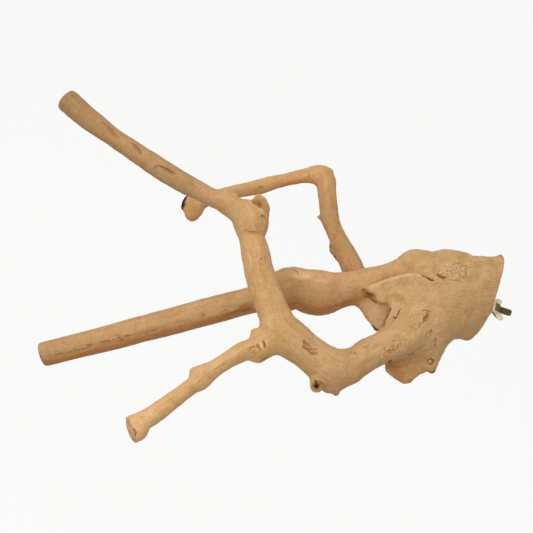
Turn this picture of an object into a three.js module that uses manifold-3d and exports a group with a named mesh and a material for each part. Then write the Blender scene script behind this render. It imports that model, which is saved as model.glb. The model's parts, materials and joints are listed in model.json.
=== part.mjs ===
// Natural branch perch for a bird cage: one piece of debarked root wood, a hanger bolt that leaves its sawn face,
// two fender washers that grip the cage wires between them, and a wing nut.
// Millimetres. The origin is on the bolt's axis where it leaves the sawn face. +Y runs out of the wood along the
// bolt, +Z is up, and the limbs lie towards -Y.
// The wood is one growth. It is divided here along the seams where each limb meets the next, with a narrow gap,
// so that every limb is a simple solid.
import * as THREE from "three";
import { mergeVertices } from "three/addons/utils/BufferGeometryUtils.js";
import Module from "manifold-3d";

const wasm = await Module();
wasm.setup();

// ---- driving dimensions ----
const SEAM = 0.3; // gap between neighbouring solids
const SIDES = 14; // facets around a limb
const EXTRA = 0.35; // added to each limb radius, so that the facets enclose the round section

// hanger bolt, M8: machine thread outside, wood-screw thread inside
const BOLT_R = 4.0;
const BOLT_OUT = 30; // from the sawn face to the end
const LAG_R = 3.9;
const LAG_LENGTH = 42;
const PITCH = 1.25;
const THREADED_OUT = 28;

const WASHER_R = 12;
const WASHER_HOLE_R = 4.45;
const WASHER_T = 1.6;
const INNER_WASHER_Y = 0.3;
const OUTER_WASHER_Y = 3.1; // 1.2 mm of play between the washers as stored

const NUT_Y = 5.0;
const NUT_HOLE_R = 4.4;
const NUT_BASE_R = 7.6;
const NUT_TOP_R = 6.2;
const NUT_HEIGHT = 9.5;
const WING_REACH = 17.5;
const WING_TOP = 15.5;
const WING_T = 2.8;
const WING_ANGLE = 162; // degrees about +Y, from +X towards +Z, of the rear wing

// Limb stations: [x, y, z, radius]
const LONG_PERCH = [
  [-30, -38, 20, 15], [-33, -54, 16, 18], [-35.3, -67.9, 9.6, 18.6], [-37.5, -90.8, 4.5, 16.9],
  [-36.2, -102.5, -4.3, 15.7], [-33.2, -114, -17.1, 15.4], [-30, -132.7, -31, 17.5], [-28.6, -149.6, -42.4, 18.2],
  [-26, -166.6, -53.9, 23.3], [-25.8, -184.8, -60.2, 26.2], [-27.5, -204.4, -62.5, 24.4], [-28.2, -217.6, -67.4, 23.2],
  [-25.5, -230.3, -76.7, 19.4], [-23.2, -242.1, -85.2, 16], [-21.5, -254.3, -92.4, 14.9], [-16.6, -294, -117.6, 15],
  [-11.7, -333.6, -142.8, 15], [-8.3, -362, -161.7, 14.6], [-4.9, -390.4, -180.7, 14.3], [-1, -427, -204.5, 13.3],
  [2.8, -463.4, -228.3, 12.4],
];
const FRONT_LIMB = [
  [14, -56, -14, 17], [36, -72, -31, 21.6], [57, -95.5, -50.2, 20.2], [74.8, -127.3, -68.2, 16.4],
  [89.6, -149.8, -88.3, 19.6], [92.4, -166, -92.5, 22.6],
];
const ELBOW_LIMB = [
  [92.4, -162, -91.5, 19], [90, -180, -88.5, 20.4], [84.2, -197, -83.4, 18.6], [77, -217, -80, 19.4],
  [70.7, -235.9, -76.3, 21], [68, -242, -72.5, 18.6],
];
const RISER = [
  [70.7, -235.9, -76.3, 17], [62.5, -247.5, -60.5, 16.6], [52, -261, -41.6, 15.9], [43.8, -270.5, -28, 15.2],
  [35.2, -279.9, -14.2, 15.1], [25, -290, 0.7, 14.6], [17.5, -293, 12, 16.4], [13, -295, 21, 17.6],
];
const UPPER_PERCH = [
  [12, -297, 22, 15.5], [7.7, -313.5, 21.7, 13.3], [4, -327, 20.6, 11.3], [-0.6, -343.3, 20.2, 10.6],
  [-11.5, -377.5, 23.2, 10.8], [-21, -405.2, 25.7, 10.6], [-30.8, -430.5, 30.1, 9.9], [-40.9, -457.6, 34.2, 9.4],
  [-50.6, -481.6, 39, 10.6], [-60.3, -504.5, 44, 12], [-69.3, -524.3, 50.2, 12],
];
const SIDE_PERCH = [
  [70.7, -230, -78, 14], [77.5, -243.5, -91, 16.4], [84.5, -254, -100.8, 15.4], [88.5, -259.3, -104.8, 11],
  [92.5, -264.5, -108.6, 8.9], [100.7, -276.4, -117.9, 8.3], [110.1, -289, -128.1, 9.4], [119.3, -301.6, -137.7, 11.9],
  [124.3, -306.8, -142.6, 10.3], [128.9, -311.8, -147.3, 8.9], [144.7, -327.8, -164, 8.4], [158.9, -343.8, -176.8, 9.2],
  [166, -350, -183, 11.2], [171.4, -354.9, -188.5, 13.2], [174.4, -359.6, -190, 12.2],
];
const REAR_LIMB = [
  [-20, -62, -48, 16], [-29.1, -80.3, -58, 17], [-39.5, -95, -66, 17], [-53.3, -113.7, -59.2, 14.4],
  [-65.2, -131.9, -49.2, 12.6], [-78.7, -145.3, -38.2, 11.9], [-92.3, -157.6, -26.6, 11.4], [-100.5, -165.3, -20.6, 11],
  [-119.5, -181, -5.5, 9.7], [-133.9, -188.7, 7.7, 9.5], [-149.3, -193.5, 21.8, 9.8], [-160.4, -197.6, 31, 11],
  [-164.2, -201, 34, 10.6],
];
const REAR_PERCH = [
  [-162.2, -197.8, 33, 9], [-165.9, -208.6, 31.8, 9.2], [-165.3, -219.8, 27.5, 8.8], [-161.3, -237.6, 17.6, 8],
  [-154, -256, 8, 8.2], [-146.5, -274.5, -1, 8.7], [-134.1, -300, -11.2, 7.9], [-119.5, -324.8, -20.9, 8.3],
  [-106.5, -339, -29.5, 10.4], [-100.6, -345.8, -37.2, 13.8], [-97.4, -349.6, -41.6, 12.4],
];

// Root crown: sections across the bolt's axis, [y, back x, front x, bottom z, top z]
const CROWN = [
  [6, -36, 15, -50, 57.5], [-4, -39, 17, -53, 58], [-12, -42, 19, -56, 56], [-22, -45, 24, -61, 51.5],
  [-36, -49, 35, -72, 47], [-50, -51, 46, -80, 46.5], [-65, -51, 53, -82, 43.5], [-80, -51, 55, -78, 34],
  [-93, -47, 53, -70, 21], [-104, -40, 47, -60, 8], [-112, -30, 38, -50, -4],
];
const CROWN_LEAN = 0.0055;
// Its lobes: [x, y, z, half width, half thickness], flattened along the given direction
const LOWER_LOBE = [
  [30, -69, -48, 30, 22], [35, -71, -61, 30, 19], [39, -71.5, -73, 29.5, 16.5], [41, -72, -84, 27, 14.5],
  [43, -74, -95, 17, 11.5], [44, -75, -101.5, 9, 8],
];
const LOBE_NUB = [[34, -46, -66, 12], [36, -47, -80, 9], [37, -47.5, -88, 5.5]];
const FRONT_TONGUE = [
  [16, -72.5, -8.5, 26, 26], [11, -99.5, -17, 20, 20], [5, -115.5, -22.5, 15, 14], [-0.5, -128.5, -26, 10, 9.4],
  [-4, -136.5, -28, 6.6, 6],
];
const ELBOW_KNOT = [[91, -178, -92, 12], [98, -177.5, -100, 10.6], [104, -178, -107, 8.8], [108, -178.5, -112, 7.8]];
const ELBOW_CORNER = [[91.6, -166.9, -90.5, 17], [98.9, -157.4, -104.2, 10.4], [103.2, -153, -112.6, 5]];
const FORK_COLLAR = [[76.5, -259, -90, 6.5], [83.6, -253.4, -99.8, 13], [91, -247.5, -109, 8]];
const RISER_KNOB = [[14, -294, 18, 16], [10.4, -292.7, 27.6, 14], [7.9, -291.4, 31.8, 11]];
const REAR_FLARE = [[-50, -121.4, -60.2, 15.4], [-41.6, -109.4, -69.8, 13], [-34.8, -100.8, -77.2, 7.7], [-31.2, -97.6, -82, 3.4]];
const REAR_KNOB = [[-99.2, -166.8, -24.7, 8.4], [-96.6, -172.7, -28.4, 6.8], [-96.4, -174.9, -29.8, 5]];
const REAR_THORN = [[-123.9, -186.6, -5.3, 6], [-124.8, -193.4, -6.1, 3.6], [-125.3, -198, -7.1, 1.6]];

// ---- shapes ----
const solidOf = (geometry) => {
  const g = geometry.clone();
  g.deleteAttribute("normal");
  g.deleteAttribute("uv");
  const merged = mergeVertices(g, 1e-4);
  return new wasm.Manifold(
    new wasm.Mesh({
      numProp: 3,
      vertProperties: new Float32Array(merged.attributes.position.array),
      triVerts: new Uint32Array(merged.index.array),
    }),
  );
};

const geometryOf = (solid) => {
  const m = solid.getMesh();
  const n = m.numProp;
  const position = new Float32Array(m.numVert * 3);
  for (let i = 0; i < m.numVert; i++)
    for (let k = 0; k < 3; k++) position[3 * i + k] = m.vertProperties[n * i + k];
  const g = new THREE.BufferGeometry()
    .setAttribute("position", new THREE.BufferAttribute(position, 3))
    .setIndex(new THREE.BufferAttribute(new Uint32Array(m.triVerts), 1));
  g.computeVertexNormals();
  return g;
};

const largest = (solid) =>
  solid.decompose().reduce((a, b) => (b.volume() > a.volume() ? b : a));

// A branch: a cylinder whose rings follow a smooth curve through the stations. Stations hold a radius, or two
// half widths, the first along `across`. Either end may be rounded over a length.
function branch(stations, options = {}) {
  const { sides = SIDES, step = 12, grow = 0, across = null, startRound = 0, endRound = 3, bumps = 0.05, seed = 1 } = options;
  const curve = new THREE.CatmullRomCurve3(
    stations.map((s) => new THREE.Vector3(s[0], s[1], s[2])),
    false,
    "centripetal",
  );
  const last = stations.length - 1;
  const rings = [];
  for (let i = 0; i < last; i++) {
    const span = curve.points[i].distanceTo(curve.points[i + 1]);
    const n = Math.max(1, Math.round(span / step));
    for (let k = 0; k < n; k++) rings.push((i + k / n) / last);
  }
  rings.push(1);
  const size = (t, which) => {
    const f = Math.min(t * last, last - 1e-9);
    const i = Math.floor(f);
    const u = f - i;
    const s = u * u * (3 - 2 * u);
    const of = (j) => stations[j][which] ?? stations[j][3];
    return of(i) * (1 - s) + of(i + 1) * s + EXTRA + grow;
  };
  // ring centres, directions and sizes, with shrinking rings at a rounded end
  const list = rings.map((t) => ({ p: curve.getPoint(t), d: curve.getTangent(t), a: size(t, 3), b: size(t, 4), t }));
  const cap = (ring, sign, length) => {
    const made = [];
    for (const f of [0.55, 0.87, 1]) {
      const k = Math.sqrt(Math.max(0, 1 - f * f));
      const keep = Math.max(k, 0.3);
      made.push({
        p: ring.p.clone().addScaledVector(ring.d, sign * length * f),
        d: ring.d.clone(),
        a: ring.a * keep,
        b: ring.b * keep,
        t: ring.t,
      });
    }
    return made;
  };
  if (endRound) list.push(...cap(list[list.length - 1], 1, endRound));
  if (startRound) list.unshift(...cap(list[0], -1, startRound).reverse());
  const count = list.length - 1;
  const shape = new THREE.CylinderGeometry(1, 1, 1, sides, count, false);
  let n = across
    ? new THREE.Vector3(...across)
    : new THREE.Vector3(0, 0, 1);
  const frames = list.map(({ d }) => {
    const base = across ? new THREE.Vector3(...across) : n;
    n = base.clone().addScaledVector(d, -base.dot(d)).normalize();
    return { n: n.clone(), b: new THREE.Vector3().crossVectors(d, n) };
  });
  const at = shape.attributes.position;
  const v = new THREE.Vector3();
  for (let i = 0; i < at.count; i++) {
    v.fromBufferAttribute(at, i);
    const k = Math.round((0.5 - v.y) * count);
    const ring = list[k];
    const angle = Math.atan2(v.x, v.z);
    const rough =
      1 +
      bumps *
        (0.6 * Math.sin(2 * angle + seed + 3.1 * ring.t * last * 0.35) +
          0.4 * Math.sin(3 * angle + 2.3 * seed + 1.7 * ring.t * last * 0.6));
    const out = ring.p
      .clone()
      .addScaledVector(frames[k].n, v.x * ring.a * rough)
      .addScaledVector(frames[k].b, v.z * ring.b * rough);
    at.setXYZ(i, out.x, out.y, out.z);
  }
  return solidOf(shape);
}

// The crown's main mass: rounded-rectangle sections in planes across the bolt
function crownMass(sections, grow = 0, sides = 24) {
  const rows = [];
  sections.forEach((s, i) => {
    rows.push(s);
    const next = sections[i + 1];
    if (next && Math.abs(next[0] - s[0]) > 10) rows.push(s.map((value, k) => (value + next[k]) / 2));
  });
  const end = rows[rows.length - 1];
  rows.push([end[0] - 5, end[1] + 8, end[2] - 9, end[3] + 12, end[4] - 10]);
  const count = rows.length - 1;
  const shape = new THREE.CylinderGeometry(1, 1, 1, sides, count, false);
  const at = shape.attributes.position;
  const v = new THREE.Vector3();
  for (let i = 0; i < at.count; i++) {
    v.fromBufferAttribute(at, i);
    const k = Math.round((0.5 - v.y) * count);
    const [y, back, front, bottom, top] = rows[k];
    const r = Math.hypot(v.x, v.z);
    const angle = Math.atan2(v.x, v.z);
    const power = 2 / 2.5;
    const c = Math.sign(Math.cos(angle)) * Math.abs(Math.cos(angle)) ** power;
    const s = Math.sign(Math.sin(angle)) * Math.abs(Math.sin(angle)) ** power;
    const rough = 1 + 0.035 * Math.sin(3 * angle + 0.05 * y) + 0.025 * Math.sin(5 * angle - 0.08 * y);
    const hx = (front - back) / 2 + grow;
    const hz = (top - bottom) / 2 + grow;
    const z = (bottom + top) / 2 + r * hz * c * rough;
    // near the sawn face the section's top and bottom lean back
    const lean = CROWN_LEAN * Math.min(1, Math.max(0, (60 + y) / 40)) * (z - 5) ** 2;
    at.setXYZ(i, (back + front) / 2 + r * hx * s * rough - lean, y, z);
  }
  let made = solidOf(shape);
  return made;
}

const box = (x0, x1, y0, y1, z0, z1) =>
  solidOf(new THREE.BoxGeometry(x1 - x0, y1 - y0, z1 - z0).translate((x0 + x1) / 2, (y0 + y1) / 2, (z0 + z1) / 2));

// A round solid about +Y: profile points are [radius, y], listed so that the outside comes round anticlockwise
function turned(profile, segments = 28) {
  return solidOf(new THREE.LatheGeometry(profile.map(([r, y]) => new THREE.Vector2(r, y)), segments));
}

// ---- the wood ----
const crownOf = (grow) =>
  crownMass(CROWN, grow)
    .add(branch(LOWER_LOBE, { across: [0, 1, 0], grow, endRound: 3 }))
    .add(branch(LOBE_NUB, { grow, sides: 10, endRound: 2, seed: 17 }))
    .add(branch(FRONT_TONGUE, { across: [0, 0, 1], grow, endRound: 2 }));

const frontOf = (grow) =>
  branch(FRONT_LIMB, { grow, endRound: 20, seed: 2 })
    .add(branch(ELBOW_CORNER, { grow, sides: 10, endRound: 3, seed: 5 }));
const elbowOf = (grow) =>
  branch(ELBOW_LIMB, { grow, endRound: 12, seed: 3 })
    .add(branch(ELBOW_KNOT, { grow, sides: 10, endRound: 1.5, seed: 4 }));
const riserOf = (grow) =>
  branch(RISER, { grow, endRound: 11, seed: 6 })
    .add(branch(RISER_KNOB, { grow, sides: 12, endRound: 7, seed: 12 }));
const sideOf = (grow) =>
  branch(SIDE_PERCH, { grow, seed: 10, endRound: 2, sides: 12 })
    .add(branch(FORK_COLLAR, { grow, sides: 10, endRound: 3, startRound: 2.5, seed: 13 }));
const rearOf = (grow) =>
  branch(REAR_LIMB, { grow, endRound: 8, seed: 7 })
    .add(branch(REAR_FLARE, { grow, sides: 10, endRound: 1.5, seed: 14 }))
    .add(branch(REAR_KNOB, { grow, sides: 8, endRound: 2, seed: 15 }))
    .add(branch(REAR_THORN, { grow, sides: 8, endRound: 1, seed: 16 }));

const outside = box(-300, 300, 0, 60, -300, 300); // everything past the sawn face
const pilot = turned([
  [0, -LAG_LENGTH - 1.5], [LAG_R + SEAM, -LAG_LENGTH + 6], [LAG_R + SEAM, -2], [BOLT_R + SEAM, -2], [BOLT_R + SEAM, 5], [0, 5],
], 20);

const crown = largest(crownOf(0).subtract(outside).subtract(pilot));
const crownSkin = crownOf(SEAM);
const longPerch = largest(branch(LONG_PERCH, { seed: 8, endRound: 2, bumps: 0.04 }).subtract(crownSkin));
const frontLimb = largest(frontOf(0).subtract(crownSkin));
const elbowLimb = largest(elbowOf(0).subtract(frontOf(SEAM)));
const riser = largest(riserOf(0).subtract(elbowOf(SEAM)));
const upperPerch = largest(branch(UPPER_PERCH, { seed: 9, endRound: 7, sides: 12 }).subtract(riserOf(SEAM)));
const sidePerch = largest(sideOf(0).subtract(elbowOf(SEAM)).subtract(riserOf(SEAM)));
const rearLimb = largest(rearOf(0).subtract(crownSkin).subtract(branch(LONG_PERCH, { seed: 8, endRound: 2, bumps: 0.04, grow: SEAM })));
const rearPerch = largest(branch(REAR_PERCH, { seed: 11, endRound: 6, sides: 12 }).subtract(rearOf(SEAM)));

// ---- the hardware ----
const bolt = turned([
  [0, -LAG_LENGTH], [1.6, -LAG_LENGTH + 3.5], [LAG_R - 0.9, -LAG_LENGTH + 8], [LAG_R, -LAG_LENGTH + 10],
  [LAG_R, -4], [LAG_R - 0.5, -3], [LAG_R - 0.5, -2.5], [BOLT_R - 0.25, -1.5], [BOLT_R, BOLT_OUT - THREADED_OUT],
  [BOLT_R, BOLT_OUT - 1], [BOLT_R - 0.9, BOLT_OUT], [0, BOLT_OUT],
], 24);

const washer = (y) =>
  turned([
    [WASHER_HOLE_R, y], [WASHER_R - 0.3, y], [WASHER_R, y + 0.3], [WASHER_R, y + WASHER_T - 0.3],
    [WASHER_R - 0.3, y + WASHER_T], [WASHER_HOLE_R, y + WASHER_T], [WASHER_HOLE_R, y],
  ], 32);

function wingNut() {
  const hub = turned([
    [0, NUT_Y], [NUT_BASE_R, NUT_Y], [NUT_BASE_R, NUT_Y + 2], [NUT_TOP_R + 0.5, NUT_Y + 4], [NUT_TOP_R, NUT_Y + NUT_HEIGHT],
    [0, NUT_Y + NUT_HEIGHT],
  ], 28);
  // one wing's outline, r outwards and h along the bolt
  const outline = new THREE.Shape();
  outline.moveTo(4.9, 1.6);
  outline.lineTo(7.2, 1.4);
  outline.quadraticCurveTo(11.5, 3.2, 15.2, 7.2);
  outline.quadraticCurveTo(18.6, 11.4, WING_REACH, 14);
  outline.quadraticCurveTo(15.8, 16.6, 12.8, 14.8);
  outline.quadraticCurveTo(9, 12.2, 6.2, 8.4);
  outline.lineTo(4.9, 8.2);
  outline.closePath();
  const plate = new THREE.ExtrudeGeometry(outline, {
    depth: WING_T - 0.8, bevelEnabled: true, bevelThickness: 0.4, bevelSize: 0.4, bevelOffset: -0.4, bevelSegments: 1,
    curveSegments: 5,
  }).translate(0, NUT_Y, -(WING_T - 0.8) / 2);
  const half = solidOf(plate);
  const other = solidOf(plate.clone().rotateY(Math.PI));
  const hole = turned([[0, NUT_Y - 1], [NUT_HOLE_R, NUT_Y - 1], [NUT_HOLE_R, NUT_Y + 20], [0, NUT_Y + 20]], 28);
  return hub.add(half).add(other).subtract(hole);
}

// ---- the assembly ----
const group = new THREE.Group();
group.name = "branch_perch";
const WOOD = new THREE.MeshStandardMaterial({ color: 0xcfa878, roughness: 0.85, metalness: 0 });
const BRONZE = new THREE.MeshStandardMaterial({ color: 0x6b5236, roughness: 0.5, metalness: 0.8 });
const ZINC = new THREE.MeshStandardMaterial({ color: 0xc9c2b4, roughness: 0.45, metalness: 0.85 });

function place(name, solid, material, parent = group) {
  const mesh = new THREE.Mesh(geometryOf(solid), material);
  mesh.name = name;
  parent.add(mesh);
  return mesh;
}

const wood = new THREE.Group();
wood.name = "wood";
group.add(wood);
place("root_crown", crown, WOOD, wood);
place("long_perch_limb", longPerch, WOOD, wood);
place("front_limb", frontLimb, WOOD, wood);
place("elbow_limb", elbowLimb, WOOD, wood);
place("riser_limb", riser, WOOD, wood);
place("upper_perch_limb", upperPerch, WOOD, wood);
place("side_perch_limb", sidePerch, WOOD, wood);
place("rear_limb", rearLimb, WOOD, wood);
place("rear_perch_limb", rearPerch, WOOD, wood);

const hardware = new THREE.Group();
hardware.name = "hardware";
group.add(hardware);
place("hanger_bolt", bolt, BRONZE, hardware);
place("inner_washer", washer(INNER_WASHER_Y), ZINC, hardware);
place("outer_washer", washer(OUTER_WASHER_Y), ZINC, hardware);
const nut = place("wing_nut", wingNut(), ZINC, hardware);
nut.rotation.y = -THREE.MathUtils.degToRad(WING_ANGLE);

export default group;
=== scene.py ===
"""The looks of a branch perch: one continuous piece of debarked root wood, its hanger bolt, two washers and a wing nut.

The wood is a distance field sampled on a grid, drawn out as a mesh, and then given its lumps, cracks, knots and stains,
with painted shade in its hollows and on its undersides and painted highlights on its ridges.
The shape's tables give places in the photograph's frame, in pixels, with a depth in millimetres.
"""
import json
import math

import bpy
import numpy as np
from mathutils import Matrix, Vector


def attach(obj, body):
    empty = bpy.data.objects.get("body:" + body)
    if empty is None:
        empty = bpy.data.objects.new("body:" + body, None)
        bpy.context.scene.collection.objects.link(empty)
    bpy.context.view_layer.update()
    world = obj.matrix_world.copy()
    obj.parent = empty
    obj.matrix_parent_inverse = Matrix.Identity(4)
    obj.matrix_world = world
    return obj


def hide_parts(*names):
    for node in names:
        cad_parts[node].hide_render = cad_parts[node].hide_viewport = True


# ---- the photograph's camera: pixels and depth in millimetres, and the part's axes as that camera sees them ----
FOCAL, DISTANCE, MIDDLE = 1480.6, 1703.0, 266.5
_b = np.array([0.937, -0.304, -0.172])
_b /= np.linalg.norm(_b)
_p = np.array([0.3086, 0.9512, 0.0])
_p -= _b * (_p @ _b)
_p /= np.linalg.norm(_p)
_q = np.cross(_b, _p)
_Z = math.cos(math.radians(22)) * _p + math.sin(math.radians(22)) * _q
AXES = np.stack([np.cross(_b, _Z), _b, _Z])  # rows: +X, +Y, +Z of the part


def seen(px, py, w):
    """Camera-frame millimetres of a point drawn at a pixel, w millimetres towards the viewer of the middle plane."""
    k = (DISTANCE - w) / FOCAL
    return np.array([(px - MIDDLE) * k, -(py - MIDDLE) * k, w], float)


ORIGIN = seen(487, 305.5, -5)


def pixels(u, v, w):
    k = FOCAL / (DISTANCE - w)
    return MIDDLE + u * k, MIDDLE - v * k


# ---- the limbs: (pixel x, pixel y, depth, diameter in pixels) ----
A = [(470, 273, -18, 34), (455, 270, -19, 34), (440, 267, -20, 35), (426, 266.4, -21.5, 31.0), (412, 265.9, -22, 29.6), (404.5, 268.8, -22, 25.2),
     (396.4, 272.4, -22, 24.5), (387.1, 276.7, -22, 25.5), (378, 280.2, -21.5, 27.8), (368, 283, -21, 30), (359, 285.5, -21, 30.8), (351.1, 287.8, -21, 32.6),
     (342.9, 289.5, -20.5, 34.6), (333.8, 291.2, -20, 37.2), (326, 292.8, -19.5, 42), (317.4, 292.8, -19, 45.5), (308.8, 291.4, -18.5, 43.4), (301, 288.6, -18, 39.9),
     (293, 287.9, -18, 41.6), (285.2, 290.4, -17.5, 42.0), (276, 293.5, -17, 34), (264, 297, -16, 28.4), (252, 299.8, -15, 26.2), (212, 310.4, -13, 27.2),
     (173.2, 320.9, -11, 26.7), (144.1, 328.5, -10, 26), (115.8, 336.2, -9, 26), (78, 345.6, -8, 24.6), (42.4, 354.8, -7, 24.1)]
P = [(446, 304, -4, 40), (425, 324, 22, 38), (401, 339.5, 42, 36.5), (384, 347, 53, 31.6), (368.1, 354.2, 60, 31.7), (356.3, 361.9, 65, 31.7),
     (345.9, 367.1, 69, 37), (333, 368.5, 74, 41), (320.9, 362.1, 75, 38.2), (305.8, 350.2, 75, 35.5), (292.9, 340.6, 74, 38.9), (280.1, 329.9, 73, 38.8),
     (275.5, 316.6, 72.5, 32.4), (271, 305, 72.5, 31.4), (264, 287.6, 72, 29.4), (259, 269.9, 71, 28.7), (255.9, 254.2, 70, 28.2), (251.6, 234.6, 68, 25.4),
     (251.9, 222.9, 66.5, 33.3), (248.6, 213.3, 65, 31.5), (238, 207.3, 64, 24.5), (225, 201.9, 62.5, 21.2), (211.9, 197.5, 61, 18.4), (197.8, 190, 60, 18.3),
     (183.3, 182.6, 58, 20), (161, 169.1, 55, 20.6), (140.8, 155.6, 52, 19.8), (119.4, 141.4, 49, 18.3), (100.7, 127.8, 46, 20.1), (82.1, 113.8, 43, 22.6),
     (68.9, 101.6, 41, 23.8)]
SIDE = [(273, 337, 74, 29), (261.8, 346.4, 77, 27), (253.4, 350.2, 79.5, 22), (246.6, 350.2, 82.5, 20.2), (237.5, 354.3, 86, 18.6), (227.4, 360.2, 91, 16.8),
     (213.5, 369.2, 98, 17.2), (204.8, 374.6, 102, 21.3), (199.7, 379.7, 105, 21.7), (194.2, 384.8, 109, 16.2), (189, 388, 112, 16), (169, 403.4, 123, 17.4),
     (151, 416.4, 134, 18.8), (140.9, 422.4, 140, 21.1), (135.4, 428.1, 144, 26.9), (128.2, 430.5, 147, 26.3)]
E = [(412, 309, -30, 36), (396, 315, -42, 35), (383, 312, -50, 31), (371, 299.5, -55, 25.5), (360, 284, -60, 21.8), (352.4, 267.8, -66, 21.5),
     (345, 252, -72, 19.4), (340.6, 242.8, -76, 17.2), (334.7, 231.1, -81, 16.6), (331.1, 222.1, -85, 17.3), (328.4, 206, -92, 17.8), (327.0, 190.1, -100, 18.0),
     (326.0, 181.0, -105, 20.2), (320.8, 175.8, -108, 21.2), (309, 175.2, -108, 15.2), (292.7, 178.3, -105, 12.9), (275.9, 182, -98.5, 12.8), (259.6, 186.7, -92, 14.9),
     (248, 189.2, -86, 14), (237.1, 191.3, -80, 13.1), (226.1, 193.8, -73, 12.8), (215.2, 196.8, -66, 13.1), (205.7, 199.3, -58, 14.8), (197.9, 203.0, -53.5, 17.2),
     (193.2, 208.6, -50.5, 20.6), (191.0, 211.6, -49, 19.4)]


def smooth_path(stations, step=4.0):
    """Catmull-Rom through the stations in camera millimetres: points and radii about a step apart."""
    pts = np.array([seen(*s[:3]) for s in stations])
    rad = np.array([s[3] / 2 * (DISTANCE - s[2]) / FOCAL for s in stations])
    data = np.column_stack([pts, rad])
    knots = np.concatenate([[0], np.cumsum(np.maximum(np.linalg.norm(np.diff(pts, axis=0), axis=1), 1e-6) ** 0.5)])
    before = 2 * data[0] - data[1]
    after = 2 * data[-1] - data[-2]
    d = np.vstack([before, data, after])
    k = np.concatenate([[2 * knots[0] - knots[1]], knots, [2 * knots[-1] - knots[-2]]])
    out = []
    for i in range(len(stations) - 1):
        p0, p1, p2, p3 = d[i : i + 4]
        t0, t1, t2, t3 = k[i : i + 4]
        n = max(1, int(round(np.linalg.norm(p2[:3] - p1[:3]) / step)))
        for j in range(n):
            t = t1 + (t2 - t1) * j / n
            a1 = (t1 - t) / (t1 - t0) * p0 + (t - t0) / (t1 - t0) * p1
            a2 = (t2 - t) / (t2 - t1) * p1 + (t - t1) / (t2 - t1) * p2
            a3 = (t3 - t) / (t3 - t2) * p2 + (t - t2) / (t3 - t2) * p3
            b1 = (t2 - t) / (t2 - t0) * a1 + (t - t0) / (t2 - t0) * a2
            b2 = (t3 - t) / (t3 - t1) * a2 + (t - t1) / (t3 - t1) * a3
            out.append((t2 - t) / (t2 - t1) * b1 + (t - t1) / (t2 - t1) * b2)
    out.append(data[-1])
    out = np.array(out)
    return out[:, :3], out[:, 3]


VOXEL = 1.6
LOW = np.array([-276.0, -212.0, -134.0])
HIGH = np.array([292.0, 208.0, 168.0])


class Field:
    """A signed distance grid in camera millimetres, negative inside."""

    def __init__(self, low, high, h):
        self.h = h
        self.low = low
        self.n = np.ceil((high - low) / h).astype(int) + 1
        self.axis = [low[i] + h * np.arange(self.n[i]) for i in range(3)]
        self.f = np.full(self.n, 60.0, np.float32)

    def window(self, low, high):
        a = np.clip(np.floor((np.asarray(low) - self.low) / self.h).astype(int), 0, self.n - 1)
        b = np.clip(np.ceil((np.asarray(high) - self.low) / self.h).astype(int) + 1, 1, self.n)
        s = tuple(slice(a[i], b[i]) for i in range(3))
        x = self.axis[0][s[0]][:, None, None].astype(np.float32)
        y = self.axis[1][s[1]][None, :, None].astype(np.float32)
        z = self.axis[2][s[2]][None, None, :].astype(np.float32)
        return s, x, y, z


def blend_in(a, g, k):
    """Smooth union, in place on a."""
    m = np.clip(0.5 + 0.5 * (a - g) / k, 0, 1)
    a += (g - a) * m - k * m * (1 - m)


def carve(a, g, k):
    """Smooth difference: takes g out of a, in place."""
    m = np.clip(0.5 - 0.5 * (a + g) / k, 0, 1)
    a += (-g - a) * m + k * m * (1 - m)


def chain_into(field, pts, rad, temp, margin=13.0):
    for i in range(len(pts) - 1):
        a, b, ra, rb = pts[i], pts[i + 1], rad[i], rad[i + 1]
        reach = max(ra, rb) + margin
        s, x, y, z = field.window(np.minimum(a, b) - reach, np.maximum(a, b) + reach)
        ab = b - a
        l2 = float(ab @ ab)
        qx, qy, qz = x - a[0], y - a[1], z - a[2]
        t = np.clip((qx * ab[0] + qy * ab[1] + qz * ab[2]) / l2, 0, 1)
        d = np.sqrt((qx - t * ab[0]) ** 2 + (qy - t * ab[1]) ** 2 + (qz - t * ab[2]) ** 2) - (ra + t * (rb - ra))
        np.minimum(temp[s], d, out=temp[s])


def polygon_distance(x, y, poly):
    """Signed distance to a polygon, negative inside."""
    poly = np.asarray(poly, float)
    best = np.full(np.broadcast(x, y).shape, 1e9, np.float32)
    inside = np.zeros(best.shape, bool)
    for i in range(len(poly)):
        a, b = poly[i], poly[(i + 1) % len(poly)]
        e = b - a
        wx, wy = x - a[0], y - a[1]
        t = np.clip((wx * e[0] + wy * e[1]) / (e @ e), 0, 1)
        best = np.minimum(best, (wx - t * e[0]) ** 2 + (wy - t * e[1]) ** 2)
        cross = ((a[1] <= y) & (b[1] > y)) | ((b[1] <= y) & (a[1] > y))
        with np.errstate(divide="ignore", invalid="ignore"):
            at = a[0] + (y - a[1]) / (b[1] - a[1] if b[1] != a[1] else 1e-9) * e[0]
        inside ^= cross & (x < at)
    d = np.sqrt(best)
    return np.where(inside, -d, d)


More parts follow.
